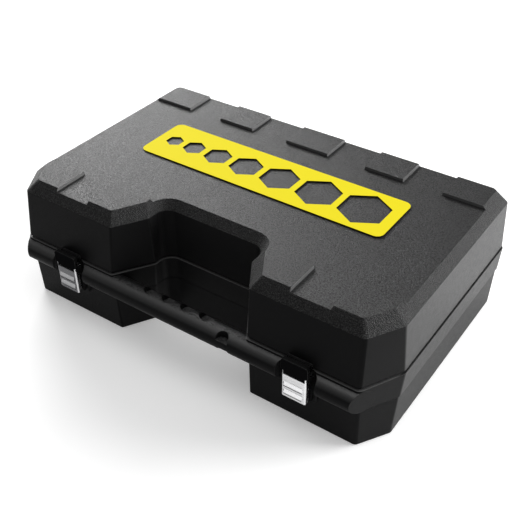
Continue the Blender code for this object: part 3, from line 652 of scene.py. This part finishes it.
def latch_lever(side, x):
    """Pressed sheet lever: a face with two louvres, folded sides, and arms up to the two pins."""
    low, high = (FACE_Y, LEVER_BOTTOM), (FACE_Y + SHEET, LEVER_TOP)
    lever = plate(f"latch_lever_{side}", x, LEVER_HALF, low, high, BRIGHT_STEEL)
    pivot_y, pivot_z = LEVER_PIVOT
    hook_y, hook_z = HOOK_PIVOT
    side_back, eye = -0.1352, 0.0022
    corners = [
        ((FACE_Y, LEVER_BOTTOM), 0.0006),
        ((side_back, LEVER_BOTTOM), 0.0015),
        ((side_back, 0.0625), 0.0020),
        ((pivot_y + eye, pivot_z - 0.0026), 0.0020),
        ((pivot_y + eye, pivot_z + eye), 0.0020),
        ((pivot_y - eye, pivot_z + eye), 0.0020),
        ((hook_y + 0.0016, hook_z + 0.0026), 0.0015),
        ((hook_y - 0.0019, hook_z + 0.0018), 0.0015),
    ]
    for name, start in (("a", x - LEVER_HALF), ("b", x + LEVER_HALF - SHEET)):
        join(lever, slab(f"lever_side_{side}_{name}", corners, start, start + SHEET, "X", steps=2))
    fold = 0.0018
    folds = rectangle((x - LEVER_HALF, FACE_Y), (x + LEVER_HALF, ROLL_Y), fold, fold, 0, 0)
    boolean(lever, "INTERSECT", slab(f"lever_folds_{side}", folds, LEVER_BOTTOM - WALL, PARTING.z + WALL))
    for index, lip_z in enumerate(LOUVRES_Z):
        add_louvre(lever, f"{side}_{index + 1}", x, lip_z)
    cut(lever, pivot_bore(f"lever_bore_{side}", x, LEVER_PIVOT, LATCH_PIN_RADIUS + GAP))
    return cut(lever, pivot_bore(f"lever_hook_bore_{side}", x, HOOK_PIVOT, HOOK_PIN_RADIUS + GAP))


def latch_hook(side, x):
    """Catch on the lever's lower pin: a plate with a shallow cap, whose lip faces the lid's keeper."""
    thick, neck = 0.0015, LEVER_HALF - SHEET - GAP
    low, foot_radius, top_radius = HOOK_PIVOT[1] + 0.0022, 0.0006, 0.0030

    def upright(name, inset, bottom, near, far, finish=None):
        half, top, brow = HOOK_HALF - inset, HOOK_TOP - inset, top_radius - inset
        corners = rectangle((bottom, x - half), (top, x + half), foot_radius, brow, brow, foot_radius)
        return slab(f"{name}_{side}", corners, near, far, "Y", finish)

    hook = soften(upright("latch_hook", 0.0, low, FACE_Y, HOOK_DEPTH_Y, LATCH_BLACK), 0.0004, angle=40.0)
    below = (FACE_Y + thick, low - WALL), (HOOK_DEPTH_Y + WALL, KEEPER_BOTTOM)
    cut(hook, plate(f"hook_below_{side}", x, 2 * HOOK_HALF, *below))
    cut(hook, upright("hook_room", SHEET, low - WALL, FACE_Y + thick, HOOK_DEPTH_Y + WALL))
    knuckle = pivot_rod(f"hook_knuckle_{side}", x, HOOK_PIVOT, neck, KNUCKLE_RADIUS, 16)
    web = plate(f"hook_neck_{side}", x, neck, (FACE_Y, HOOK_PIVOT[1]), (FACE_Y + thick, low + 0.001))
    join(hook, web, knuckle)
    return cut(hook, pivot_bore(f"hook_bore_{side}", x, HOOK_PIVOT, HOOK_PIN_RADIUS + GAP * 0.75))


def latch_keeper(side, x):
    """Black plate on the lid with a ledge that the hook's lip pulls on."""
    back, ledge_half, ledge_front, ledge_low, ledge_top = KEEPER_WALL_Y - GAP, 0.0110, -0.1357, 0.0762, 0.0782
    low, high = (back - SHEET, KEEPER_BOTTOM), (back, KEEPER_TOP)
    keeper = plate(f"latch_keeper_{side}", x, KEEPER_HALF, low, high, LATCH_BLACK)
    low, high = (ledge_front, ledge_low), (back - SHEET / 2, ledge_top)
    join(keeper, plate(f"keeper_ledge_{side}", x, ledge_half, low, high))


def latches():
    for side, x in LATCHES:
        latch_bracket(side, x)
        latch_lever(side, x)
        latch_hook(side, x)
        latch_keeper(side, x)
        pins = (("latch_pin", LEVER_PIVOT, LEVER_HALF + 0.0017, LATCH_PIN_RADIUS),
                ("hook_pin", HOOK_PIVOT, LEVER_HALF - 0.0002, HOOK_PIN_RADIUS))
        for name, pivot, half, radius in pins:
            pivot_rod(f"{name}_{side}", x, pivot, half, radius, finish=BRIGHT_STEEL)


# Tools ------------------------------------------------------------------------


def socket_radius(size):
    """Radius of a socket's hexagon end, from its size across flats in millimetres."""
    return (1.3 * size + 2.0) / 2000


def drive_radius(size):
    """Radius of a socket's drive end, which is never smaller than the square needs."""
    return 0.0110 + 0.25 * max(0.0, socket_radius(size) - 0.0110)


def socket_length(size):
    return 0.038 if size <= 24 else 0.044


def socket_places():
    """Where each socket stands: the large ones in a row at the back, the small ones at the front right."""
    widths = {size: 2 * max(socket_radius(size), drive_radius(size)) for size in BACK_ROW}
    total = sum(widths.values()) + BACK_ROW_SPACE * (len(BACK_ROW) - 1)
    places, x = {}, -total / 2
    for size in BACK_ROW:
        places[size] = Vector((x + widths[size] / 2, BACK_ROW_Y, SOCKET_FLOOR))
        x += widths[size] + BACK_ROW_SPACE
    for index, size in enumerate(FRONT_ROW):
        places[size] = Vector((FRONT_ROW_X + index * FRONT_ROW_PITCH, FRONT_ROW_Y, SOCKET_FLOOR))
    return places


def socket(size, spot):
    """Socket standing on its drive end: a hexagon above, a square below, and rings round the narrow end."""
    length, wide, narrow = socket_length(size), socket_radius(size), drive_radius(size)
    edge, bore = 0.0010, 0.0040
    profile = [
        (wide - edge, length), (wide, length - edge), (wide, 0.45 * length), (narrow, 0.35 * length),
        *ribs((narrow, 0.32 * length), (narrow, 0.12 * length), 2, 0.0004),
        (narrow, edge), (narrow - edge, 0.0), (bore, 0.0), (bore, length),
    ]
    name = f"socket_{size}"
    made = turned(name, profile, TOOL_CHROME, SOCKET_SIDES, spot + Vector((0, 0, GAP)), closed=True)
    low, high = spot + Vector((0, 0, -WALL)), spot + Vector((0, 0, length + WALL))
    cut(made, square_bar(f"{name}_drive", low, spot + Vector((0, 0, DRIVE_DEPTH)), DRIVE_HOLE))
    return cut(made, hexagon_bar(f"{name}_hexagon", spot + Vector((0, 0, 0.55 * length)), high, size / 1000))


def ratchet_body():
    """Round head on a tapering neck, with room for the gear, the pawl and the spindle, and a tang."""
    x, y, z = RATCHET
    neck_end = x + 0.0700
    body = post("ratchet_body", RATCHET, HEAD_LOW, HEAD_TOP, 0.0190, 32, TOOL_CHROME)
    neck = rod("ratchet_neck", (x + 0.008, y, z), (neck_end, y, z), 0.0079, 16, end_radius=SHANK - 0.0008)
    tang = rod("ratchet_tang", (neck_end - 0.020, y, z), (x + 0.2355, y, z), SHANK, 16)
    join(body, neck, tang)
    cut(body, post("ratchet_bore", RATCHET, HEAD_LOW - WALL, HEAD_TOP - 0.0030, 0.0132, 32))
    low, high = (x + 0.010, y - 0.0062, HEAD_LOW + 0.003), (x + 0.0182, y + 0.0062, HEAD_TOP - 0.0037)
    cut(body, box("ratchet_pawl_room", low, high))
    cut(body, post("ratchet_spindle_bore", RATCHET, z, HEAD_TOP + WALL, SPINDLE_BORE, 16))


def ratchet_gear():
    """Gear with small ratchet teeth, a collar and the square drive under it, and a bore for the button."""
    x, y, z = RATCHET
    teeth, tooth, radius = 36, 0.0006, 0.0126
    points = []
    for step in range(2 * teeth):
        angle = math.pi * step / teeth
        reach = radius - tooth * (step % 2)
        points.append((x + reach * math.cos(angle), y + reach * math.sin(angle)))
    rings = [[(*point, height) for point in points] for height in (HEAD_LOW + 0.001, HEAD_TOP - 0.0035)]
    gear = loft("ratchet_gear", rings, BRIGHT_STEEL)
    root = HEAD_LOW + 0.002
    join(gear, square_bar("gear_drive", (x, y, HEAD_LOW - 0.0150), (x, y, root), DRIVE_TIP))
    join(gear, post("gear_collar", RATCHET, HEAD_LOW - 0.0010, root, 0.0105, 24))
    cut(gear, post("gear_bore", RATCHET, z - 0.004, HEAD_TOP + WALL, 0.0043, 16))


def ratchet_pawl():
    x, y = RATCHET.xy
    low, high = (x + 0.0135, y - 0.0055, HEAD_LOW + 0.0035), (x + 0.0176, y + 0.0055, HEAD_TOP - 0.0042)
    pawl = box("ratchet_pawl", low, high, BRIGHT_STEEL)
    cut(pawl, post("pawl_round", RATCHET, HEAD_LOW, HEAD_TOP, 0.0138, 32))


def ratchet_cover():
    cover = post("ratchet_cover", RATCHET, COVER_LOW, COVER_LOW + COVER, 0.0165, 32, BRIGHT_STEEL)
    cut(cover, post("cover_bore", RATCHET, COVER_LOW - WALL, COVER_LOW + WALL, SPINDLE_BORE, 16))


def ratchet_selector():
    """Dial with a thumb tab, round the button."""
    x, y = RATCHET.xy
    top, tab_start, tab_end, tab_half = DIAL_LOW + 0.0024, x + 0.004, x + 0.0155, 0.0022
    dial = post("ratchet_selector", RATCHET, DIAL_LOW, top, 0.0085, 24, GRIP_BLACK)
    tab = [((tab_start, y - 0.0035), 0.0005), ((tab_end, y - tab_half), 0.002),
           ((tab_end, y + tab_half), 0.002), ((tab_start, y + 0.0035), 0.0005)]
    join(dial, slab("selector_tab", tab, DIAL_LOW, top))
    cut(dial, post("selector_bore", RATCHET, DIAL_LOW - WALL, DIAL_LOW + WALL, 0.0044, 16))


def ratchet_grip():
    """Ribbed grip over the tang, a little narrower in its middle."""
    x, y, z = RATCHET
    start, end = x + 0.1050, x + 0.2400
    length, ridge, waist, nose, cap, bore = end - start, 0.0140, 0.0125, 0.0105, 0.0040, SHANK + GAP
    middle = (waist, 0.45 * length)
    profile = [
        (0.0, length), (0.0115, length), (ridge, 0.85 * length),
        *ribs((ridge, 0.82 * length), middle, 6), *ribs(middle, (ridge, 0.15 * length), 6),
        (ridge, 0.12 * length), (nose, 0.0), (bore, 0.0), (bore, length - cap), (0.0, length - cap),
    ]
    turned("ratchet_grip", profile, GRIP_BLACK, 16, (start, y, z), ALONG_X)


def ratchet():
    ratchet_body()
    ratchet_gear()
    ratchet_pawl()
    ratchet_cover()
    ratchet_selector()
    post("ratchet_button", RATCHET, RATCHET.z, DIAL_LOW + 0.0036, 0.0038, 16, BRIGHT_STEEL)
    ratchet_grip()


def extension(name, centre, length):
    """Drive extension along X: a socket end at -X and a square drive end at +X."""
    tip, neck, collar, mouth, edge = 0.0140, 0.0068, 0.0092, 0.0108, 0.001
    run = length - tip
    profile = [
        (0.0, run), (collar - edge, run), (collar, run - edge), (collar, run - 0.010), (neck, run - 0.014),
        (neck, 0.030), (mouth, 0.024), *ribs((mouth, 0.020), (mouth, 0.006), 6, 0.0003),
        (mouth, edge), (mouth - edge, 0.0), (0.0, 0.0),
    ]
    reach = Vector((length / 2, 0, 0))
    start, end = centre - reach, centre + reach
    bar = turned(name, profile, TOOL_CHROME, 16, start, ALONG_X)
    join(bar, square_bar(f"{name}_tip", end - Vector((tip + 0.004, 0, 0)), end, DRIVE_TIP))
    outside, inside = start - Vector((WALL, 0, 0)), start + Vector((0.0160, 0, 0))
    return cut(bar, square_bar(f"{name}_mouth", outside, inside, DRIVE_HOLE))


def t_bar():
    """Rod with a stop at each end, and the head that slides along it with its square drive."""
    x, y, z = T_BAR
    half, stop = 0.1250, 0.0060
    bar = rod("t_bar_rod", (x - half, y, z), (x + half, y, z), 0.0058, 20, finish=TOOL_CHROME)
    for name, way in (("a", -1), ("b", 1)):
        outer, inner = (x + way * half, y, z), (x + way * (half - stop), y, z)
        join(bar, rod(f"t_bar_stop_{name}", outer, inner, 0.0068, 20))
    head = post("t_bar_head", T_BAR, z - 0.0110, z + 0.0098, 0.0112, 24, TOOL_CHROME)
    join(head, square_bar("t_bar_drive", (x, y, z - 0.0250), (x, y, z - 0.0100), DRIVE_TIP))
    cut(head, rod("t_bar_head_bore", (x - 0.02, y, z), (x + 0.02, y, z), 0.0062, 20))


def joint_fork(name, way, along_x):
    """Fork above (way 1) or below (way -1) the joint's middle: a round base and two ears bored for a pin."""
    x, y, z = JOINT
    reach, base, ear_half, ear_inside, ear_outside = 0.0130, 0.0105, 0.0055, 0.0068, 0.0105
    made = post(name, JOINT, z + way * reach, z + way * (reach + base), JOINT_RADIUS, 16, TOOL_CHROME)
    tip, root = z - way * ear_half, z + way * (reach + 0.003)
    ear = [(tip, ear_half, 0.004), (root, ear_half, 0), (root, -ear_half, 0), (tip, -ear_half, 0.004)]
    if along_x:
        corners, middle, axis = [((y + across, up), radius) for up, across, radius in ear], x, "X"
    else:
        corners, middle, axis = [((up, x + across), radius) for up, across, radius in ear], y, "Y"
    for tag, side in (("a", -1), ("b", 1)):
        inside, outside = sorted((side * ear_inside, side * ear_outside))
        join(made, slab(f"{name}_ear_{tag}", corners, middle + inside, middle + outside, axis))
    run_x, run_y = (0.02, 0.0) if along_x else (0.0, 0.02)
    start, end = (x - run_x, y - run_y, z), (x + run_x, y + run_y, z)
    return cut(made, rod(f"{name}_bore", start, end, JOINT_PIN_RADIUS + GAP, 16))


def universal_joint():
    """Two forks at right angles on a cross: the lower one has a square drive, the upper one a socket end."""
    x, y, z = JOINT
    lower = joint_fork("joint_fork_lower", -1, False)
    join(lower, square_bar("joint_drive", (x, y, z - 0.0370), (x, y, z - 0.0220), DRIVE_TIP))
    upper = joint_fork("joint_fork_upper", 1, True)
    top = z + 0.0330
    join(upper, post("joint_socket_end", JOINT, z + 0.0200, top, JOINT_RADIUS, 16))
    cut(upper, square_bar("joint_mouth", (x, y, top - DRIVE_DEPTH), (x, y, top + WALL), DRIVE_HOLE))
    side, half, reach = 0.0058, 0.0045, 0.0103
    cross = box("joint_cross", (x - side, y - side, z - half), (x + side, y + side, z + half), BRIGHT_STEEL)
    join(cross, rod("cross_pin_x", (x - reach, y, z), (x + reach, y, z), JOINT_PIN_RADIUS, 16))
    join(cross, rod("cross_pin_y", (x, y - reach, z), (x, y + reach, z), JOINT_PIN_RADIUS, 16))


def tool_insert(places):
    """Deck on a skirt that stands on the tray's floor, with a cup or a trough under every tool."""
    edge, skirt = WALL + BAND_STEP + INSERT_CLEARANCE, 2 * SHEET
    foot, deck_under = WALL + GAP, DECK_Z - DECK
    rings = [
        outline(between(BASE, PARTING, deck_under), edge + skirt),
        outline(between(BASE, PARTING, foot), edge + skirt),
        outline(between(BASE, PARTING, foot), edge),
        outline(between(BASE, PARTING, DECK_Z), edge),
    ]
    insert = loft("tool_insert", rings, INSERT_GREY)
    cups = new_collection("insert_cups")
    pockets = new_collection("insert_pockets")

    def pocket(name, low, high, radius=None):
        """Box between two corners, or a round hole from low to high, with a wall round it."""
        kinds = ("cup", cups, CUP_WALL, -DECK / 2), ("pocket", pockets, 0.0, WALL)
        for tag, collection, wall, lift in kinds:
            side = 0 if radius else wall
            start, end = Vector(low) - Vector((side, side, wall)), Vector(high) + Vector((side, side, lift))
            if radius:
                shape = rod(f"{name}_{tag}", start, end, radius + wall, CUP_SIDES)
            else:
                shape = box(f"{name}_{tag}", start, end)
            SHAPES.objects.unlink(shape)
            collection.objects.link(shape)

    for size, spot in places.items():
        radius = max(socket_radius(size), drive_radius(size)) + 0.0010
        pocket(f"socket_{size}_place", spot, (spot.x, spot.y, DECK_Z), radius)
    x, y, z = RATCHET
    pocket("ratchet_head_place", (x, y, z - 0.0255), (x, y, DECK_Z), 0.0205)
    pocket("ratchet_handle_place", (x + 0.010, y - 0.0155, z - 0.0155), (x + 0.2425, y + 0.0155, DECK_Z))
    x, y, z = T_BAR
    pocket("t_bar_place", (x - 0.1270, y - 0.0125, z - 0.0265), (x + 0.1270, y + 0.0125, DECK_Z))
    for name, centre, length in extensions():
        half = length / 2 + 0.0015
        low = centre - Vector((half, 0.0120, 0.0120))
        pocket(f"{name}_place", low, (centre.x + half, centre.y + 0.0120, DECK_Z))
    x, y, z = JOINT
    pocket("joint_place", (x, y, z - 0.0380), (x, y, DECK_Z), 0.0130)
    for operation, collection in (("UNION", cups), ("DIFFERENCE", pockets)):
        modifier = insert.modifiers.new(operation.lower(), "BOOLEAN")
        modifier.operation = operation
        modifier.operand_type = "COLLECTION"
        modifier.collection = collection


def extensions():
    return (("extension_long", EXTENSION_LONG, 0.2500), ("extension_short", EXTENSION_SHORT, 0.1250))


# Finishes ---------------------------------------------------------------------


class Finish:
    """A material in the making: one shader whose normal runs through rounded edges and a chain of bumps."""

    def __init__(self, name, colour, roughness, metallic=0.0, specular=0.5, edge=0.0004):
        self.material = bpy.data.materials.new(name)
        self.material.use_nodes = True
        self.tree = self.material.node_tree
        self.shader = self.tree.nodes["Principled BSDF"]
        self.shade("Base Color", (*colour, 1.0))
        self.shade("Roughness", roughness)
        self.shade("Metallic", metallic)
        self.shade("Specular IOR Level", specular)
        coordinates = self.node("TexCoord")
        self.where = coordinates.outputs["Object"]
        self.facing = coordinates.outputs["Normal"]
        rounding = self.node("Bevel", {"Radius": edge}, samples=4)
        self.use_normal(rounding.outputs["Normal"])

    def link(self, value, socket):
        """Gives a socket a constant or the output of another node."""
        if isinstance(value, bpy.types.NodeSocket):
            self.tree.links.new(value, socket)
        else:
            socket.default_value = value

    def shade(self, name, value):
        self.link(value, self.shader.inputs[name])

    def use_normal(self, output):
        self.normal = output
        self.shade("Normal", output)

    def node(self, kind, inputs=None, **settings):
        made = self.tree.nodes.new(f"ShaderNode{kind}")
        for name, setting in settings.items():
            setattr(made, name, setting)
        for name, value in (inputs or {}).items():
            self.link(value, made.inputs[name])
        return made

    def noise(self, scale, detail=2.0, stretch=None):
        """Soft noise, finer along an axis that is stretched by more than one."""
        where = self.where
        if stretch:
            where = self.node("Mapping", {"Vector": where, "Scale": stretch}).outputs["Vector"]
        return self.node("TexNoise", {"Scale": scale, "Detail": detail, "Vector": where}).outputs["Fac"]

    def cells(self, scale):
        """Distance to the nearest edge between irregular cells."""
        inputs = {"Scale": scale, "Vector": self.where}
        return self.node("TexVoronoi", inputs, feature="DISTANCE_TO_EDGE").outputs["Distance"]

    def axis(self, vector, name):
        return self.node("SeparateXYZ", {"Vector": vector}).outputs[name]

    def span(self, value, low, high, start=0.0, end=1.0):
        """Value between low and high, mapped onto start to end and held there beyond."""
        inputs = {"Value": value, "From Min": low, "From Max": high, "To Min": start, "To Max": end}
        return self.node("MapRange", inputs).outputs["Result"]

    def within(self, value, low, high):
        """One between two heights and nothing beyond them, with a short fade inside each."""
        return self.product(self.span(value, low, low + FADE), self.span(value, high, high - FADE))

    def maths(self, operation, first, second=0.0):
        return self.node("Math", {0: first, 1: second}, operation=operation).outputs["Value"]

    def product(self, first, *others):
        for other in others:
            first = self.maths("MULTIPLY", first, other)
        return first

    def total(self, first, *others):
        for other in others:
            first = self.maths("ADD", first, other)
        return first

    def bump(self, height, depth, strength=1.0):
        inputs = {"Height": height, "Distance": depth, "Strength": strength, "Normal": self.normal}
        self.use_normal(self.node("Bump", inputs).outputs["Normal"])

    def colours(self, share, first, second):
        """Base colour that runs from the first colour to the second one."""
        inputs = {"Factor": share, 6: (*first, 1.0), 7: (*second, 1.0)}
        self.shade("Base Color", self.node("Mix", inputs, data_type="RGBA").outputs[2])


def case_finish():
    """Moulded black plastic: satin walls, a finely grained top and a coarser grain on the lid's slope."""
    made = Finish(CASE_BLACK, (0.008, 0.008, 0.0083), 0.42, specular=0.30, edge=0.0006)
    span, product, total, maths, noise = made.span, made.product, made.total, made.maths, made.noise
    sideways, front, up = (made.axis(made.facing, name) for name in "XYZ")
    across, along_y, height = (made.axis(made.where, name) for name in "XYZ")
    coarse = noise(1050.0)
    grain = span(coarse, 0.35, 0.65)

    # Zones. The part of a surface's direction that points up is 1 on a level surface and 0 on a wall.
    level, tilted = span(up, 0.90, 0.97), span(up, 0.97, 0.90)
    end_wall = span(maths("ABSOLUTE", sideways), 0.80, 0.95)
    above_walls = span(height, BEVEL.z - 0.0024, BEVEL.z - 0.0007)
    slope = product(span(up, 0.25, 0.40), tilted, above_walls)
    above_panel = span(height, PANEL_Z + 0.0001, PANEL_Z + 0.0004, 0.0, 0.7)
    pad_side = product(span(up, 0.40, 0.30), above_panel)
    half = PARTING.half_width
    short_of_ends = span(maths("ABSOLUTE", across), half - 0.0025, half - 0.0045)
    rim = product(made.within(height, TRAY_RIM - 0.0003, LID_FOOT + 0.0001), short_of_ends)
    groove = made.within(height, LID_FOOT, LID_FOOT + GROOVE_HEIGHT + FADE)
    on_roll = product(
        span(along_y, ROLL_BACK + 0.0010, ROLL_BACK - 0.0010),
        span(height, PARTING.z - 0.0006, PARTING.z - 0.0012),
    )
    under_roll = span(height, ROLL_UNDER + 0.0010, ROLL_UNDER)

    # Painted highlights: paler colour where edges would catch the light, on the tray's rim, as glints on the
    # grain of the slope and on the pads' sides.
    painted_glints = product(slope, span(grain, 0.35, 1.0, 0.0, 0.4))
    painted_highlights = total(product(rim, span(up, 0.2, 0.6)), painted_glints, pad_side)
    made.colours(painted_highlights, (0.0045, 0.0045, 0.0047), (0.055, 0.055, 0.055))

    # Reflection: least on the walls that face the handle's side, in the groove and on undersides.
    turned_back = maths("SUBTRACT", front, span(up, 0.1, 0.9, 0.0, -0.6))
    gloss = total(
        span(turned_back, -0.58, 0.04, 0.03, 0.45),
        product(on_roll, span(up, 0.40, 0.85, 0.0, 0.50)),
        product(pad_side, 0.5),
    )
    dull = total(
        product(slope, span(grain, 0.0, 1.0, 0.64, 0.28)),
        product(level, span(noise(600.0), 0.37, 0.63, 0.54, -0.28)),
        groove,
    )
    dull = maths("MAXIMUM", dull, product(under_roll, span(up, -0.08, -0.30, 0.0, 0.9)))
    made.shade("Specular IOR Level", product(gloss, maths("SUBTRACT", 1.0, dull)))

    # Roughness: a little more on the ends of the tray, and more again under its band.
    lower = total(
        span(height, PARTING.z - 0.0001, PARTING.z + 0.0004, 0.08, 0.0),
        span(height, LEDGE_Z - 0.0005, LEDGE_Z + 0.0005, 0.12, 0.0),
    )
    satin = span(noise(180.0, 3.0), 0.3, 0.7, 0.37, 0.43)
    made.shade("Roughness", total(product(end_wall, lower), satin))

    made.bump(noise(1500.0), 0.00030, 0.6)
    made.bump(made.cells(900.0), 0.00055, product(level, 0.8))
    made.bump(coarse, 0.0010, slope)
    return made.material


def badge_finish():
    """Yellow face with black edges."""
    yellow, black = (0.70, 0.60, 0.015), (0.008, 0.008, 0.008)
    made = Finish(BADGE_YELLOW, yellow, 0.6, specular=0.03, edge=0.0002)
    made.colours(made.span(made.axis(made.facing, "Z"), 0.6, 0.9), black, yellow)
    made.bump(made.noise(1500.0), 0.00005, 0.2)
    return made.material


def painted_finish():
    """Black paint on sheet metal, which hardly reflects where it faces the handle's side."""
    made = Finish(LATCH_BLACK, (0.004, 0.004, 0.0043), 0.35, specular=0.3, edge=0.0003)
    made.shade("Specular IOR Level", made.span(made.axis(made.facing, "Y"), -0.95, -0.3, 0.0, 0.5))
    made.shade("Roughness", made.span(made.noise(250.0, 3.0), 0.3, 0.7, 0.28, 0.40))
    made.bump(made.noise(700.0), 0.00004, 0.2)
    return made.material


def steel_finish():
    """Plated sheet steel with faint rolling lines, and painted shade on the left latch's face, coloured
    darker than the right's.
    """
    made = Finish(BRIGHT_STEEL, (0.80, 0.80, 0.81), 0.24, metallic=1.0, edge=0.0002)
    lines = made.noise(60.0, 4.0, (1, 1, 30))
    made.shade("Roughness", made.span(lines, 0.3, 0.7, 0.20, 0.34))
    # Painted shade: the left latch's face is coloured darker than the right's, standing in for the dimmer
    # reflection it shows.
    face = made.span(made.axis(made.facing, "Y"), -0.985, -0.85, 1.0, 0.0)
    left = made.span(made.axis(made.where, "X"), -0.01, 0.01, 1.0, 0.0)
    made.colours(made.product(face, left), (0.77, 0.77, 0.78), (0.10, 0.10, 0.105))
    made.bump(lines, 0.00002, 0.2)
    return made.material


def insert_finish():
    """Grey moulding with a fine pebble grain."""
    made = Finish(INSERT_GREY, (0.05, 0.05, 0.054), 0.55, specular=0.3, edge=0.0010)
    made.colours(made.noise(25.0, 3.0), (0.042, 0.042, 0.045), (0.060, 0.060, 0.065))
    made.bump(made.cells(700.0), 0.00015, 0.4)
    return made.material


def chrome_finish():
    """Polished chrome with fine wear scratches."""
    made = Finish(TOOL_CHROME, (0.80, 0.81, 0.83), 0.12, metallic=1.0, edge=0.0005)
    made.shade("Roughness", made.span(made.noise(120.0, 5.0, (1, 1, 6)), 0.35, 0.75, 0.08, 0.22))
    made.bump(made.noise(300.0, 4.0, (1, 1, 8)), 0.00003, 0.25)
    return made.material


def grip_finish():
    """Soft black grip with a pebble grain."""
    made = Finish(GRIP_BLACK, (0.02, 0.02, 0.021), 0.6, specular=0.35, edge=0.0005)
    made.colours(made.noise(60.0, 3.0), (0.016, 0.016, 0.017), (0.028, 0.028, 0.029))
    made.bump(made.cells(1100.0), 0.00015, 0.5)
    return made.material


# Studio -----------------------------------------------------------------------


def floor():
    bpy.ops.mesh.primitive_plane_add(size=14.0, location=(0.0, 0.0, 0.0))
    made = bpy.context.object
    made.name = "studio_floor"
    paper = bpy.data.materials.new("pale_paper")
    paper.use_nodes = True
    shader = paper.node_tree.nodes["Principled BSDF"]
    shader.inputs["Base Color"].default_value = (0.93, 0.93, 0.93, 1.0)
    shader.inputs["Roughness"].default_value = 0.9
    shader.inputs["Specular IOR Level"].default_value = 0.1
    shader.inputs["Emission Color"].default_value = (1.0, 1.0, 1.0, 1.0)
    shader.inputs["Emission Strength"].default_value = 0.24
    made.data.materials.append(paper)


def aimed(name, data, location, way):
    """Sets up a light or a camera that looks along a direction."""
    made = bpy.data.objects.new(name, data)
    made.location = location
    made.rotation_mode = "QUATERNION"
    made.rotation_quaternion = way.to_track_quat("-Z", "Y")
    bpy.context.scene.collection.objects.link(made)
    return made


def area_light(name, location, target, size, power):
    data = bpy.data.lights.new(name, "AREA")
    data.shape = "RECTANGLE"
    data.size, data.size_y = size
    data.energy = power
    aimed(name, data, location, Vector(target) - Vector(location))


def studio():
    floor()
    area_light("back_left_softbox", (-1.95, 1.45, 1.22), (-0.05, 0.0, 0.1), (1.5, 1.1), 57.0)
    area_light("back_right_softbox", (1.75, 1.5, 0.95), (0.35, 0.2, 0.0), (1.5, 1.4), 72.0)
    area_light("overhead", (0.2, -0.3, 2.6), (0.0, 0.0, 0.0), (2.2, 2.2), 20.0)
    world = bpy.data.worlds.new("studio")
    bpy.context.scene.world = world
    world.use_nodes = True
    background = world.node_tree.nodes["Background"]
    background.inputs["Color"].default_value = (1.0, 1.0, 1.0, 1.0)
    background.inputs["Strength"].default_value = 0.35
    bpy.context.scene.view_settings.view_transform = "Standard"


def camera():
    data = bpy.data.cameras.new("camera")
    data.lens = 56.96
    data.sensor_width = 36.0
    data.clip_start, data.clip_end = 0.05, 30.0
    way = Vector((-0.4461, 0.6520, -0.6131))
    bpy.context.scene.camera = aimed("camera", data, (0.4090, -0.5799, 0.5885), way)


FINISHES = {
    CASE_BLACK: case_finish(),
    LATCH_BLACK: painted_finish(),
    BRIGHT_STEEL: steel_finish(),
    BADGE_YELLOW: badge_finish(),
    INSERT_GREY: insert_finish(),
    TOOL_CHROME: chrome_finish(),
    GRIP_BLACK: grip_finish(),
}

PLACES = socket_places()
tray_shell()
lid_shell()
hinge_pins()
lid_badge()
latches()
tool_insert(PLACES)
ratchet()
for bar_name, bar_centre, bar_length in extensions():
    extension(bar_name, bar_centre, bar_length)
t_bar()
universal_joint()
for socket_size, socket_spot in PLACES.items():
    socket(socket_size, socket_spot)
show_pieces()
studio()
camera()
